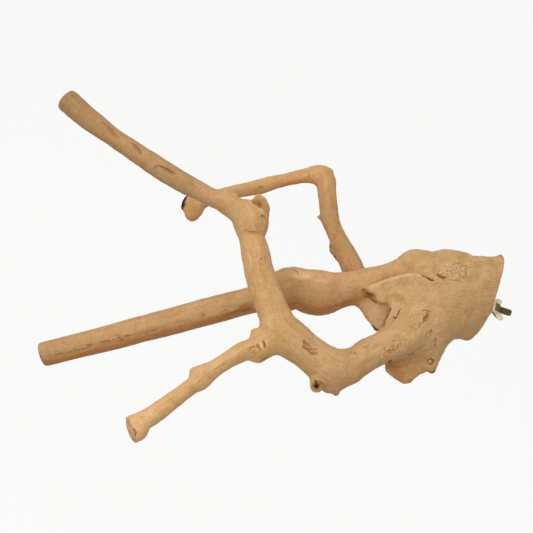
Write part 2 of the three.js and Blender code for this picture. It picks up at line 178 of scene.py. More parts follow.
def slab(field, poly, w0, w1, half0, half1, px0, px1, round_mm=5.0, k=8.0, mode="add", slope_y=0.0, py0=0.0):
    """A plate with the outline `poly` in pixels. Its middle depth and half thickness run from the first values at
    px0 to the second at px1, and the middle depth also changes by slope_y for each pixel down from py0."""
    poly = np.asarray(poly, float)
    depth = max(half0, half1) + 16 + abs(slope_y) * 30
    wm = min(w0, w1), max(w0, w1)
    corners = [seen(px, py, w) for px in (poly[:, 0].min(), poly[:, 0].max()) for py in (poly[:, 1].min(), poly[:, 1].max()) for w in wm]
    low, high = np.min(corners, 0) - 14, np.max(corners, 0) + 14
    low[2], high[2] = wm[0] - depth, wm[1] + depth
    s, x, y, z = field.window(low, high)
    px, py = pixels(x, y, z)
    scale = (DISTANCE - z) / FOCAL
    d = polygon_distance(px, py, poly) * scale + round_mm
    t = np.clip((px - px0) / (px1 - px0), 0, 1)
    middle = w0 + (w1 - w0) * t + slope_y * (py - py0)
    half = half0 + (half1 - half0) * t
    q = np.abs(z - middle) - half + round_mm
    g = np.minimum(np.maximum(d, q), 0) + np.sqrt(np.maximum(d, 0) ** 2 + np.maximum(q, 0) ** 2) - round_mm
    (blend_in if mode == "add" else carve)(field.f[s], g.astype(np.float32), k)


def blob(field, px, py, w, rx, ry, rw, turn=0.0, tip=0.0, k=8.0, mode="add"):
    """An ellipsoid: radii in millimetres along the picture's x and y, turned by degrees anticlockwise, and in depth."""
    c = seen(px, py, w)
    reach = max(rx, ry, rw) + 15
    s, x, y, z = field.window(c - reach, c + reach)
    a = math.radians(turn)
    e = math.radians(tip)
    qx, qy, qz = x - c[0], y - c[1], z - c[2]
    qx, qy = qx * math.cos(a) + qy * math.sin(a), -qx * math.sin(a) + qy * math.cos(a)
    qx, qz = qx * math.cos(e) + qz * math.sin(e), -qx * math.sin(e) + qz * math.cos(e)
    k0 = np.sqrt((qx / rx) ** 2 + (qy / ry) ** 2 + (qz / rw) ** 2)
    k1 = np.sqrt((qx / rx**2) ** 2 + (qy / ry**2) ** 2 + (qz / rw**2) ** 2) + 1e-9
    g = (k0 * (k0 - 1) / k1).astype(np.float32)
    (blend_in if mode == "add" else carve)(field.f[s], g, k)


def cone(field, stations, k=6.0, mode="add"):
    """A short round-sectioned piece through stations of (px, py, w, radius in mm)."""
    pts = np.array([seen(*s[:3]) for s in stations])
    rad = np.array([s[3] for s in stations], float)
    low = (pts - rad[:, None]).min(0) - 14
    high = (pts + rad[:, None]).max(0) + 14
    s, x, y, z = field.window(low, high)
    g = np.full(field.f[s].shape, 60.0, np.float32)
    for i in range(len(pts) - 1):
        ab = pts[i + 1] - pts[i]
        qx, qy, qz = x - pts[i][0], y - pts[i][1], z - pts[i][2]
        t = np.clip((qx * ab[0] + qy * ab[1] + qz * ab[2]) / (ab @ ab), 0, 1)
        d = np.sqrt((qx - t * ab[0]) ** 2 + (qy - t * ab[1]) ** 2 + (qz - t * ab[2]) ** 2) - (rad[i] + t * (rad[i + 1] - rad[i]))
        np.minimum(g, d, out=g)
    (blend_in if mode == "add" else carve)(field.f[s], g, k)


def cut(field, px, py, w, normal, reach=30.0, k=1.6):
    """Saws off what lies past a plane, within reach of its point."""
    c = seen(px, py, w)
    n = np.asarray(normal, float)
    n /= np.linalg.norm(n)
    s, x, y, z = field.window(c - reach, c + reach)
    g = -((x - c[0]) * n[0] + (y - c[1]) * n[1] + (z - c[2]) * n[2])
    carve(field.f[s], np.broadcast_to(g, field.f[s].shape).astype(np.float32), k)


SAWN = [(-19, 58.5), (-8, 54.5), (2, 46), (9.5, 28), (12.8, 9), (13.5, -9), (10.4, -31), (3, -41.5), (-11, -47.5),
        (-27, -45), (-38, -30), (-42, -4), (-41.5, 28), (-37, 50), (-29, 58)]


def carve_field():
    """The whole growth as a signed distance grid."""
    field = Field(LOW, HIGH, VOXEL)
    # the sawn block: the section at the face, growing inwards
    o = ORIGIN
    s, x, y, z = field.window(o - 95, o + 95)
    qx, qy, qz = x - o[0], y - o[1], z - o[2]
    X = qx * AXES[0][0] + qy * AXES[0][1] + qz * AXES[0][2]
    Y = qx * AXES[1][0] + qy * AXES[1][1] + qz * AXES[1][2]
    Zc = qx * AXES[2][0] + qy * AXES[2][1] + qz * AXES[2][2]
    inward = np.clip(-Y, 0, 40)
    up = np.clip((Zc - 12) / 40, 0, 1.3)
    d = polygon_distance(X, Zc + 0.42 * inward * up - 0.02 * inward * (Zc < 0), SAWN) + 6 - 0.10 * inward * (1 - np.clip(up, 0, 1))
    q = np.abs(Y + 12) - 24 + 6
    g = np.minimum(np.maximum(d, q), 0) + np.sqrt(np.maximum(d, 0) ** 2 + np.maximum(q, 0) ** 2) - 6
    blend_in(field.f[s], g.astype(np.float32), 10.0)
    # the crown's muscles
    cone(field, [(490, 275, -20, 17), (478, 274, -14, 20), (464, 273, -5, 21.5), (452, 270.6, -2, 23.4), (438, 271.5, -7, 20), (426, 270, -15, 15)], k=10)
    blob(field, 416, 261.4, -22, 14, 11.2, 15, k=8)
    cone(field, [(484, 298, -12, 27), (468, 302, -4, 31), (452, 307, 2, 32), (437, 313, 10, 28)], k=16)
    cone(field, [(470, 311, -18, 23), (461, 317, -8, 20)], k=10)
    cone(field, [(478, 292, -30, 22), (455, 294, -40, 24), (430, 300, -42, 24), (408, 308, -38, 20)], k=14)
    blob(field, 446, 292, -12, 48, 36, 38, k=14)
    blob(field, 418, 300, -8, 34, 30, 28, k=12)
    slab(field, [(398, 318), (414, 296), (436, 274), (462, 268), (490, 268), (498, 280), (487, 306), (474, 328), (463, 333), (452, 334), (444, 343),
                 (437, 358), (424, 362), (408, 350)],
         4, -8, 28, 22, 430, 490, round_mm=17, k=12)
    # front shell and its tongue
    slab(field, [(366.0, 288.4), (372, 285.4), (380, 282.8), (392, 278.6), (402, 275.2), (413.9, 272.6), (422, 274.4), (434.5, 280.3), (450, 288), (468, 294),
                 (466, 322), (440, 334), (420, 334), (404, 326), (395, 318.5), (391.2, 313), (390.4, 305), (387.5, 302.9), (382, 303.6), (378.6, 301.8),
                 (376.2, 298.4), (375.4, 295), (372.4, 293.2), (369.3, 293), (367.3, 290.6)],
         3, 14, 6.0, 14, 366, 425, round_mm=4, k=7)
    # the cheek between the tongue and the front limb, ending in a cliff on the left
    slab(field, [(391, 301), (390.6, 306), (389.6, 309.5), (388.2, 314.5), (385.6, 319.8), (384.2, 324.6), (379.6, 330.6), (376, 345), (392, 348), (412, 336),
                 (420, 312), (402, 298)],
         10, 14, 10, 12, 384, 415, round_mm=3.5, k=7, slope_y=0.85, py0=305)
    # lower lobe
    slab(field, [(424, 330), (446.4, 338), (441.8, 349.4), (438.5, 360), (436.6, 367.5), (434.4, 372.2), (431.6, 373.6), (427, 370.4), (418.8, 374.2),
                 (409.4, 382.4), (404, 383.6), (395, 378), (386.3, 370.6), (385, 362.5), (392, 350), (406, 336)],
         13, 14, 14, 15, 390, 440, round_mm=7, k=10)
    blob(field, 397, 366, 38, 17, 12, 15, turn=-40, k=7, mode="cut")
    # the web behind, torn to a point
    slab(field, [(352, 296), (356.4, 303.6), (360.2, 309.5), (366, 317.5), (371.5, 325), (373.4, 327.8), (377, 331), (380.6, 330.6), (383.6, 325), (387, 317),
                 (391, 306), (396, 296), (376, 288)],
         -23, -8, 8.0, 12, 360, 392, round_mm=4, k=6)
    # limbs
    paths = {}
    for name, stations, k in (("A", A, 9.0), ("P", P, 10.0), ("E", E, 9.0), ("SIDE", SIDE, 7.0)):
        pts, rad = smooth_path(stations)
        paths[name] = (pts, rad)
        temp = np.full(field.f.shape, 60.0, np.float32)
        chain_into(field, pts, rad, temp)
        if name == "P":
            s, x, y, z = field.window(seen(375, 260, 0) - [0, 200, 200], seen(500, 260, 0) + [0, 200, 200])
            keen = 10 + 16 * np.clip((x - 125) / 45, 0, 1)
            k = np.full(field.f.shape, 10.0, np.float32)
            k[s] = np.broadcast_to(keen, k[s].shape)
        blend_in(field.f, temp, k)
    # knots and corners
    cone(field, [(331, 368, 73, 17), (334.6, 381.6, 73, 9.9), (335.9, 392.6, 73, 3.6)], k=7)
    cone(field, [(322, 370, 77, 14), (318, 379.5, 83, 9.2), (316.6, 384.5, 87, 7.6), (316.2, 386.3, 89, 7.0)], k=4)
    cone(field, [(326, 374, 75, 12), (328.4, 384.6, 75, 8.6)], k=6)
    cone(field, [(252, 216, 65, 15), (257.5, 209, 66, 13.4), (258.7, 204.5, 66, 10.4)], k=6)
    slab(field, [(234, 186), (238.6, 198.0), (244, 199.2), (251.4, 199.9), (253.6, 198.0), (255.4, 195.8), (256.6, 194.4), (257.4, 186)],
         66, 66, 26, 26, 230, 270, round_mm=0.5, k=2.5, mode="cut")
    cone(field, [(258.2, 198.5, 66, 3.6), (258.4, 194.9, 66, 1.5)], k=2.5)
    cone(field, [(256.5, 338, 78, 7), (258, 347, 80, 13.0), (257.8, 356.0, 80, 7.6)], k=5)
    cone(field, [(258.4, 333.0, 78, 6.0), (254.7, 332.4, 80, 4.1)], k=2.5)
    cone(field, [(337.5, 243, -77, 7.5), (333.4, 246.6, -75, 5.0), (334.4, 251.6, -74.5, 4.8), (339, 257, -74, 5)], k=4)
    cone(field, [(327, 219.5, -88, 6), (321.5, 217.4, -88, 3), (317.8, 217, -88, 1.2)], k=4)
    cone(field, [(201.6, 376, 105, 10), (195.8, 372.4, 105, 5.4), (194.4, 371.4, 105, 4.4)], k=4)
    cone(field, [(329.4, 171.8, -106, 4.0), (324, 176, -106, 8)], k=4)
    cone(field, [(189.5, 199, -48, 5.5), (187.0, 203.4, -48, 6.0), (185.6, 205.4, -48, 5.0)], k=4)
    cone(field, [(229, 207, 63, 9.0), (239.5, 214.6, 65, 10.2), (247, 229, 67, 11.0)], k=6)
    # the crown's lip below the bolt, and its top edge worn down behind the sawn corner
    cone(field, [(469, 327, -16, 10), (466.6, 334.4, -14, 6.6)], k=6)
    slab(field, [(462, 236), (464.5, 250.5), (468.5, 254.2), (473, 256.1), (480, 256.5), (487, 256.9), (493.5, 256.9), (497.2, 255.5), (499.4, 254.3),
                 (502, 254.6), (507, 257.6), (514, 262), (514, 236)],
         -16, -16, 60, 60, 440, 520, round_mm=0.5, k=3.5, mode="cut")
    slab(field, [(427.2, 236), (428.4, 250.4), (431, 251.8), (435.4, 251.3), (440, 250.3), (444, 236)], -16, -16, 60, 60, 440, 520, round_mm=0.5, k=3.0, mode="cut")
    # the web's torn tip
    cone(field, [(377, 324.6, -10, 4.0), (376.0, 328.2, -9, 2.8)], k=2.0)
    # the hollow under the tongue and the crease beside the web
    cone(field, [(363.6, 291.0, -3, 1.2), (367.4, 293.4, 0, 2.4), (371.8, 295.8, 1, 3.2), (375.2, 299.4, 1, 3.2), (379.0, 303.0, 2, 2.4), (384, 304.4, 2, 1.4)], k=1.6, mode="cut")
    cone(field, [(390.2, 305.2, 8, 1.4), (390.0, 310.0, 8, 2.2), (387.6, 316.0, 8, 2.0), (385.0, 321.8, 8, 1.6)], k=2.0, mode="cut")
    return field, paths


def finish_cuts(field):
    o = ORIGIN
    # sawn face
    s, x, y, z = field.window(o - 110, o + 110)
    Y = (x - o[0]) * AXES[1][0] + (y - o[1]) * AXES[1][1] + (z - o[2]) * AXES[1][2]
    carve(field.f[s], np.broadcast_to(-Y, field.f[s].shape).astype(np.float32), 1.2)
    cut(field, 41.2, 355.1, -7, (-0.95, -0.30, -0.06), k=4.5)
    cut(field, 129.8, 427.6, 147, (-0.888, -0.274, 0.37), k=2.2)
    cut(field, 64.4, 97.4, 40.3, (-0.74, 0.67, -0.1), k=4.5)
    # hole at the knuckle of the rear bar
    cone(field, [(176.6, 201.4, -38, 2.8), (183.4, 204.5, -44, 2.4)], k=1.5, mode="cut")
    slab(field, [(174, 209.6), (181.8, 209.2), (184.6, 211.6), (185.2, 215.4), (186.8, 218.8), (189.2, 221.4), (191, 226), (174, 226)],
         -48, -48, 26, 26, 174, 191, round_mm=0.5, k=3.0, mode="cut")


def surface_nets(field):
    f, h, low = field.f, field.h, field.low
    inside = f < 0
    n = np.array(f.shape)
    c = inside[:-1, :-1, :-1].astype(np.int8)
    total = c.copy()
    for dx, dy, dz in ((1, 0, 0), (0, 1, 0), (0, 0, 1), (1, 1, 0), (1, 0, 1), (0, 1, 1), (1, 1, 1)):
        total += inside[dx : n[0] - 1 + dx, dy : n[1] - 1 + dy, dz : n[2] - 1 + dz]
    cells = np.argwhere((total > 0) & (total < 8))
    index = np.full(n - 1, -1, np.int32)
    index[cells[:, 0], cells[:, 1], cells[:, 2]] = np.arange(len(cells))
    corner = np.array([(i & 1, (i >> 1) & 1, (i >> 2) & 1) for i in range(8)])
    values = np.stack([f[tuple((cells + k).T)] for k in corner], 1)
    place = np.zeros((len(cells), 3))
    count = np.zeros(len(cells))
    for a in range(8):
        for b in range(a + 1, 8):
            if bin(a ^ b).count("1") != 1:
                continue
            va, vb = values[:, a], values[:, b]
            cross = (va < 0) != (vb < 0)
            t = np.where(cross, va / np.where(cross, va - vb, 1), 0)
            p = corner[a] + (corner[b] - corner[a]) * t[:, None]
            place += p * cross[:, None]
            count += cross
    verts = low + h * (cells + place / count[:, None])
    quads = []
    for axis in range(3):
        o1, o2 = [(1, 2), (2, 0), (0, 1)][axis]
        a = inside
        sl0 = [slice(None)] * 3
        sl1 = [slice(None)] * 3
        sl0[axis], sl1[axis] = slice(0, -1), slice(1, None)
        change = a[tuple(sl0)] != a[tuple(sl1)]
        at = np.argwhere(change)
        at = at[(at[:, o1] > 0) & (at[:, o2] > 0) & (at[:, o1] < n[o1] - 1) & (at[:, o2] < n[o2] - 1)]
        out = inside[tuple(at.T)]
        e1, e2 = np.eye(3, dtype=int)[o1], np.eye(3, dtype=int)[o2]
        q = np.stack([index[tuple((at - d).T)] for d in (0 * e1, e1, e1 + e2, e2)], 1)
        q[~out] = q[~out][:, ::-1]
        quads.append(q)
    quads = np.concatenate(quads)
    return verts, quads


def sample(field, points):
    """The field and its gradient at points, trilinear."""
    g = (points - field.low) / field.h
    g = np.clip(g, 0, np.array(field.f.shape) - 1.001)
    i = np.floor(g).astype(int)
    t = (g - i).astype(np.float64)
    f = field.f
    c = np.empty((len(points), 2, 2, 2))
    for a in (0, 1):
        for b in (0, 1):
            for d in (0, 1):
                c[:, a, b, d] = f[i[:, 0] + a, i[:, 1] + b, i[:, 2] + d]
    tx, ty, tz = t[:, 0], t[:, 1], t[:, 2]
    cx = c[:, 0] * (1 - tx)[:, None, None] + c[:, 1] * tx[:, None, None]
    cxy = cx[:, 0] * (1 - ty)[:, None] + cx[:, 1] * ty[:, None]
    value = cxy[:, 0] * (1 - tz) + cxy[:, 1] * tz
    gx = ((c[:, 1] - c[:, 0]) * (((1 - ty)[:, None] * np.array([1, 0]) + ty[:, None] * np.array([0, 1]))[:, :, None])).sum(1)
    gx = gx[:, 0] * (1 - tz) + gx[:, 1] * tz
    dy = cx[:, 1] - cx[:, 0]
    gy = dy[:, 0] * (1 - tz) + dy[:, 1] * tz
    gz = cxy[:, 1] - cxy[:, 0]
    grad = np.stack([gx, gy, gz], 1) / field.h
    return value, grad


def settle(field, points, steps=3):
    p = points.copy()
    for _ in range(steps):
        v, g = sample(field, p)
        n2 = np.maximum((g * g).sum(1), 0.05)
        move = (v / n2)[:, None] * g
        length = np.linalg.norm(move, axis=1, keepdims=True)
        p -= move * np.minimum(1, 1.0 / np.maximum(length, 1e-9))
    return p


def normals_of(verts, tris):
    n = np.zeros_like(verts)
    a, b, c = verts[tris[:, 0]], verts[tris[:, 1]], verts[tris[:, 2]]
    fn = np.cross(b - a, c - a)
    for i in range(3):
        for k in range(3):
            n[:, k] += np.bincount(tris[:, i], fn[:, k], len(verts))
    return n / np.maximum(np.linalg.norm(n, axis=1, keepdims=True), 1e-12)


def triangles(quads, verts):
    """Each quad split along its shorter diagonal."""
    a = np.linalg.norm(verts[quads[:, 0]] - verts[quads[:, 2]], axis=1)
    b = np.linalg.norm(verts[quads[:, 1]] - verts[quads[:, 3]], axis=1)
    first = a <= b
    q = np.where(first[:, None], quads, np.roll(quads, -1, 1))
    return np.concatenate([q[:, [0, 1, 2]], q[:, [0, 2, 3]]])


def refine(verts, tris, zone):
    """Splits every edge whose two ends lie in the zone, and the triangles to match."""
    e = np.sort(np.concatenate([tris[:, [0, 1]], tris[:, [1, 2]], tris[:, [2, 0]]]), 1)
    key = e[:, 0].astype(np.int64) * len(verts) + e[:, 1]
    uniq, inv = np.unique(key, return_inverse=True)
    a, b = uniq // len(verts), uniq % len(verts)
    split = zone[a] & zone[b]
    number = np.full(len(uniq), -1, np.int64)
    number[split] = len(verts) + np.arange(split.sum())
    mids = (verts[a[split]] + verts[b[split]]) / 2
    m = number[inv].reshape(3, -1).T  # midpoint on edges 01, 12, 20
    has = m >= 0
    cnt = has.sum(1)
    out = [tris[cnt == 0]]
    t, mm = tris[cnt == 3], m[cnt == 3]
    out += [np.stack([t[:, 0], mm[:, 0], mm[:, 2]], 1), np.stack([t[:, 1], mm[:, 1], mm[:, 0]], 1),
            np.stack([t[:, 2], mm[:, 2], mm[:, 1]], 1), mm]
    for k in range(3):
        r = (k, (k + 1) % 3, (k + 2) % 3)
        pick = (cnt == 1) & has[:, k]
        t, mm = tris[pick], m[pick]
        out += [np.stack([t[:, r[0]], mm[:, k], t[:, r[2]]], 1), np.stack([mm[:, k], t[:, r[1]], t[:, r[2]]], 1)]
        pick = (cnt == 2) & ~has[:, k]
        t, mm = tris[pick], m[pick]
        # edges k+1 and k+2 are split, edge k from r0 to r1 isn't
        out += [np.stack([t[:, r[2]], mm[:, r[2]], mm[:, r[1]]], 1), np.stack([t[:, r[0]], t[:, r[1]], mm[:, r[1]]], 1),
                np.stack([t[:, r[0]], mm[:, r[1]], mm[:, r[2]]], 1)]
    return np.concatenate([verts, mids]), np.concatenate(out), split.sum()


def to_part(points):
    return (points - ORIGIN) @ AXES.T


# ---- surface detail ----
_GRAD = np.array([(1, 1, 0), (-1, 1, 0), (1, -1, 0), (-1, -1, 0), (1, 0, 1), (-1, 0, 1), (1, 0, -1), (-1, 0, -1),
                  (0, 1, 1), (0, -1, 1), (0, 1, -1), (0, -1, -1), (1, 1, 0), (-1, 1, 0), (0, -1, 1), (0, -1, -1)], float)


def noise(p, seed=0):
    """Gradient noise at points, about -1 to 1, one feature per unit of length."""
    table = np.random.default_rng(1000 + seed).permutation(256)
    table = np.concatenate([table, table])
    i = np.floor(p).astype(int)
    t = p - i
    i &= 255
    s = t * t * t * (t * (6 * t - 15) + 10)
    out = 0
    for dx in (0, 1):
        for dy in (0, 1):
            for dz in (0, 1):
                g = _GRAD[table[table[table[(i[:, 0] + dx) & 255] + ((i[:, 1] + dy) & 255)] + ((i[:, 2] + dz) & 255)] & 15]
                d = ((t - (dx, dy, dz)) * g).sum(1)
                wx = s[:, 0] if dx else 1 - s[:, 0]
                wy = s[:, 1] if dy else 1 - s[:, 1]
                wz = s[:, 2] if dz else 1 - s[:, 2]
                out = out + wx * wy * wz * d
    return out


def front_of(verts, px, py, shift=0.0):
    """The nearest surface point to the viewer at a pixel of the photograph's frame."""
    vx, vy = pixels(verts[:, 0], verts[:, 1], verts[:, 2])
    near = (vx - px) ** 2 + (vy - py) ** 2
    r = 1.3
    while not (near < r * r).any():
        r += 0.5
    hit = np.flatnonzero(near < r * r)
    hit = hit[verts[hit, 2] > verts[hit, 2].max() - 4.0]
    share = 1 / (near[hit] + 0.05)
    w = (verts[hit, 2] * share).sum() / share.sum()
    return seen(px, py, w + shift)


def line_distance(p, line):
    """Distance to a polyline and how far along it, from 0 to 1."""
    best = np.full(len(p), 1e9)
    at = np.zeros(len(p))
    lengths = np.linalg.norm(np.diff(line, axis=0), axis=1)
    total = max(lengths.sum(), 1e-9)
    done = 0.0
    for a, b, l in zip(line[:-1], line[1:], lengths):
        ab = b - a
        t = np.clip(((p - a) @ ab) / max(ab @ ab, 1e-12), 0, 1)
        d = np.linalg.norm(p - a - t[:, None] * ab, axis=1)
        m = d < best
        best[m] = d[m]
        at[m] = ((done + t * l) / total)[m]
        done += l
    return best, at


# strokes: pixels of a line on the side seen, width mm, depth mm, darkness, browning
STROKES = [
    ([(419.6, 274.0), (423.4, 275.6), (427.6, 278.0), (431.2, 279.9), (435.2, 280.6)], 1.6, 3.4, 1.0, 0.6),
    ([(436.6, 274.2), (439.6, 276.6), (442.4, 277.8), (446.8, 277.6)], 1.5, 1.8, 0.30, 0.95),
    ([(400.8, 308.8), (399.4, 311.4), (397.4, 314.8), (395.6, 318.0)], 1.0, 2.4, 0.9, 0.7),
    ([(395.0, 317.4), (395.9, 318.6)], 1.7, 3.0, 1.2, 0.9),
    ([(391.2, 316.2), (393, 316.8), (395.2, 317.6)], 0.8, 1.0, 0.25, 0.7),
    ([(394.6, 319.2), (392.6, 321.6), (391.2, 323.6)], 0.7, 0.8, 0.2, 0.5),
    ([(426.8, 312.4), (427.4, 315.0), (424.9, 318.4), (423.4, 321.6)], 2.2, 0.9, 0.05, 0.75),
    ([(421.4, 311.2), (425, 310.2), (429.6, 311.6), (431.4, 313)], 0.9, 0.5, 0.05, 0.6),
    ([(429.6, 313.2), (427.4, 316.8), (424.8, 320.6), (422.4, 323.8)], 0.8, 0.5, 0.1, 0.6),
    ([(421.6, 322), (419.6, 325.2), (418.6, 328.2)], 0.9, 0.4, 0.0, 0.5),
    ([(431.9, 328.4), (430.8, 331.6), (429.2, 335.4)], 1.3, 0.7, 0.1, 0.6),
    ([(428.6, 330.6), (427.2, 334.8), (425.4, 338.4)], 0.9, 0.5, 0.0, 0.4),
    ([(434.6, 336.6), (435.8, 340), (434.4, 344), (435.6, 347.4)], 0.9, 0.6, 0.1, 0.5),
    ([(390.6, 358.8), (394.4, 357.4), (399.2, 356.0), (404, 354.8), (408.0, 354.0)], 1.0, 0.6, 0.0, 0.35),
    ([(407.4, 353.6), (409.2, 354.6), (411.6, 354.2), (413.4, 352.6), (415.0, 352.8)], 0.9, 0.8, 0.1, 0.7),
    ([(388.8, 363.4), (389.6, 360.8), (391.6, 358.6)], 2.4, 2.6, 0.75, 1.0),
    ([(392, 361.2), (397.4, 363.6), (404.2, 362.2)], 1.0, 0.35, 0.0, 0.3),
    ([(392, 364.6), (397.8, 366.8), (404.8, 364.8)], 1.0, 0.35, 0.0, 0.3),
    ([(443.6, 283.5), (436, 285.6), (431.4, 286.6)], 1.4, 0.5, 0.0, 0.25),
    ([(242.6, 229.6), (246, 230.4), (250.4, 232.2), (254.4, 232.2), (258, 233.0)], 1.0, 0.7, 0.0, 0.45),
    ([(251.4, 200.2), (254.4, 202.4), (257.2, 204.6), (259.6, 206.6), (261.2, 207.8)], 1.5, 1.3, 0.08, 0.95),
    ([(258.4, 203.4), (260.2, 204.6), (261.0, 206.8)], 1.4, 0.9, 0.12, 0.95),
    ([(259.6, 216.2), (262.2, 215.6), (264.4, 216.6), (264.6, 219.6)], 0.9, 0.8, 0.05, 0.6),
    ([(263.2, 340.2), (264.2, 343.6), (264.8, 348.2)], 1.2, 1.2, 0.1, 0.8),
    ([(257.0, 343.4), (258.6, 347.4), (260.6, 351.2)], 1.3, 0.8, 0.0, 0.5),
    ([(248.6, 350.6), (252.0, 347.6), (255.6, 346.2)], 1.5, 0.6, 0.0, 0.5),
    ([(255.4, 337.6), (253.6, 341.4), (254.2, 345)], 0.8, 0.5, 0.0, 0.3),
    ([(269.4, 354.6), (264.6, 358.6), (259.4, 360.6)], 1.2, 0.9, 0.3, 0.7),
    ([(314.2, 380.2), (316.2, 381.6), (316.8, 384.2)], 1.2, 1.2, 0.8, 1.0),
    ([(319.4, 381.2), (321.0, 382.6), (322.8, 384.4)], 1.1, 0.9, 0.3, 1.0),
    ([(288.6, 270.0), (293.4, 270.0), (296.4, 271.6), (298.0, 274.2), (298.4, 276.8)], 0.8, 0.5, 0.1, 0.6),
    ([(126.4, 421.4), (130.8, 426.6), (133.4, 429.2), (134.8, 434.8)], 0.9, 1.2, 0.45, 0.6),
    ([(131.4, 428.8), (134.6, 427.0)], 0.7, 0.9, 0.3, 0.5),
    ([(213, 371.6), (219.8, 366.2), (226.6, 362.9)], 0.8, 0.4, 0.05, 0.4),
    ([(159.8, 407.4), (167, 402.2), (175, 396.4)], 0.8, 0.3, 0.0, 0.3),
    ([(364.4, 290.4), (367.4, 293.6), (371.4, 295.6), (374.9, 298.4), (378.4, 302.4), (382.6, 304.2)], 2.0, 0.4, 0.6, 1.0),
    ([(374.8, 298.6), (376.6, 300.8), (378.6, 302.4)], 2.4, 0.9, 0.75, 1.0),
    ([(361.8, 295.2), (366, 296.6), (370.6, 297.6), (373.4, 300.6), (377.2, 304.0)], 1.0, 0.7, 0.35, 0.9),
    ([(364.4, 287.4), (363.2, 290.2), (363.6, 293.0)], 1.4, 0.5, 0.1, 0.55),
    ([(390.4, 305.6), (390.6, 309.4), (388.8, 314.0), (386.4, 319.0), (384.6, 323.2)], 1.4, 0.9, 0.7, 0.95),
    ([(389.2, 308.4), (388.0, 312.4), (386.6, 316.4)], 1.9, 0.5, 0.0, 0.75),
    ([(385.0, 321.4), (384.0, 325.4), (381.2, 328.4)], 1.5, 0.6, 0.25, 0.9),
    ([(373.2, 325.4), (374.8, 327.8), (377.6, 329.8), (381.4, 329.4)], 2.0, 0.5, 1.3, 1.0),
    ([(427.8, 370.4), (430.6, 372.4), (433.4, 371.8), (435.0, 369.6)], 2.1, 0.6, 1.2, 1.0),
    ([(427.4, 362.2), (427.7, 359.4), (430.2, 358.2), (432.6, 359.8), (432.6, 362.6), (430.2, 364.0), (427.6, 362.6)], 1.1, 0.5, 0.15, 0.9),
    ([(499.0, 254.8), (502.0, 254.6), (503.9, 257.8)], 1.3, 0.7, 0.5, 0.7),
    ([(503.9, 262.6), (503.4, 268.0)], 0.9, 0.4, 0.3, 0.5),
    ([(301.2, 341.0), (304.0, 341.2), (306.6, 344.0), (309.6, 346.6)], 1.3, 0.5, 0.0, 0.55),
    ([(302.0, 345.0), (304.8, 347.6), (308.6, 350.2), (312.4, 348.8)], 1.5, 0.5, 0.0, 0.6),
    ([(308.2, 351.0), (312.0, 353.8), (316.0, 353.4), (318.0, 351.6)], 1.5, 0.5, 0.0, 0.6),
    ([(312.8, 348.6), (315.4, 349.4), (317.6, 350.6)], 1.2, 0.4, 0.0, 0.5),
    ([(382.0, 352.4), (384.4, 351.0), (387.2, 350.4)], 1.1, 0.3, 0.0, 0.35),
    ([(392.2, 343.0), (393.8, 345.6), (393.0, 347.6), (394.6, 350.6)], 0.9, 0.4, 0.0, 0.42),
    ([(361.4, 347.4), (364.6, 347.2), (368.6, 346.2)], 1.2, 0.3, 0.0, 0.4),
    ([(373.6, 345.8), (375.8, 345.4), (377.8, 346.0)], 1.1, 0.3, 0.0, 0.4),
    ([(452.4, 262.2), (456, 264.2), (459.6, 262.8)], 0.9, 0.4, 0.05, 0.4),
    ([(439.4, 262.4), (441.4, 261.6), (443.4, 261.6)], 1.2, 0.3, 0.0, 0.3),
    ([(456.6, 257.2), (459.4, 258.2), (462, 258.0)], 1.3, 0.3, 0.0, 0.3),
    ([(107.4, 126.6), (111.6, 131.0), (117.4, 136.6)], 1.2, 0.3, 0.0, 0.4),
    ([(130.2, 142.6), (136.4, 146.8), (140.4, 151.4), (142.2, 155.6)], 1.3, 0.4, 0.0, 0.55),
    ([(157.4, 164.9), (163.4, 167.8), (170, 171.2), (176.4, 174.4)], 1.3, 0.4, 0.0, 0.65),
    ([(153.8, 167.4), (156.4, 169.4)], 1.4, 0.3, 0.0, 0.45),
    ([(259.4, 186.0), (261.6, 187.4)], 1.2, 0.5, 0.1, 0.6),
    ([(310, 171.6), (308.6, 175.0), (309.4, 178.4)], 0.8, 0.4, 0.0, 0.4),
    ([(187.4, 196.8), (184.6, 199.6), (183.2, 203.6), (184.0, 207.8)], 2.6, 1.2, 0.9, 1.0),
    ([(329.4, 243.8), (329.0, 247.0), (330.6, 250.4)], 1.7, 0.3, 0.35, 1.0),
    ([(258.6, 257.4), (260.8, 259.2), (260.0, 262.4), (262.0, 265.2)], 0.8, 0.4, 0.0, 0.4),
    ([(263.6, 255.6), (265.2, 259.4), (266.8, 264.4)], 0.8, 0.3, 0.0, 0.35),
]
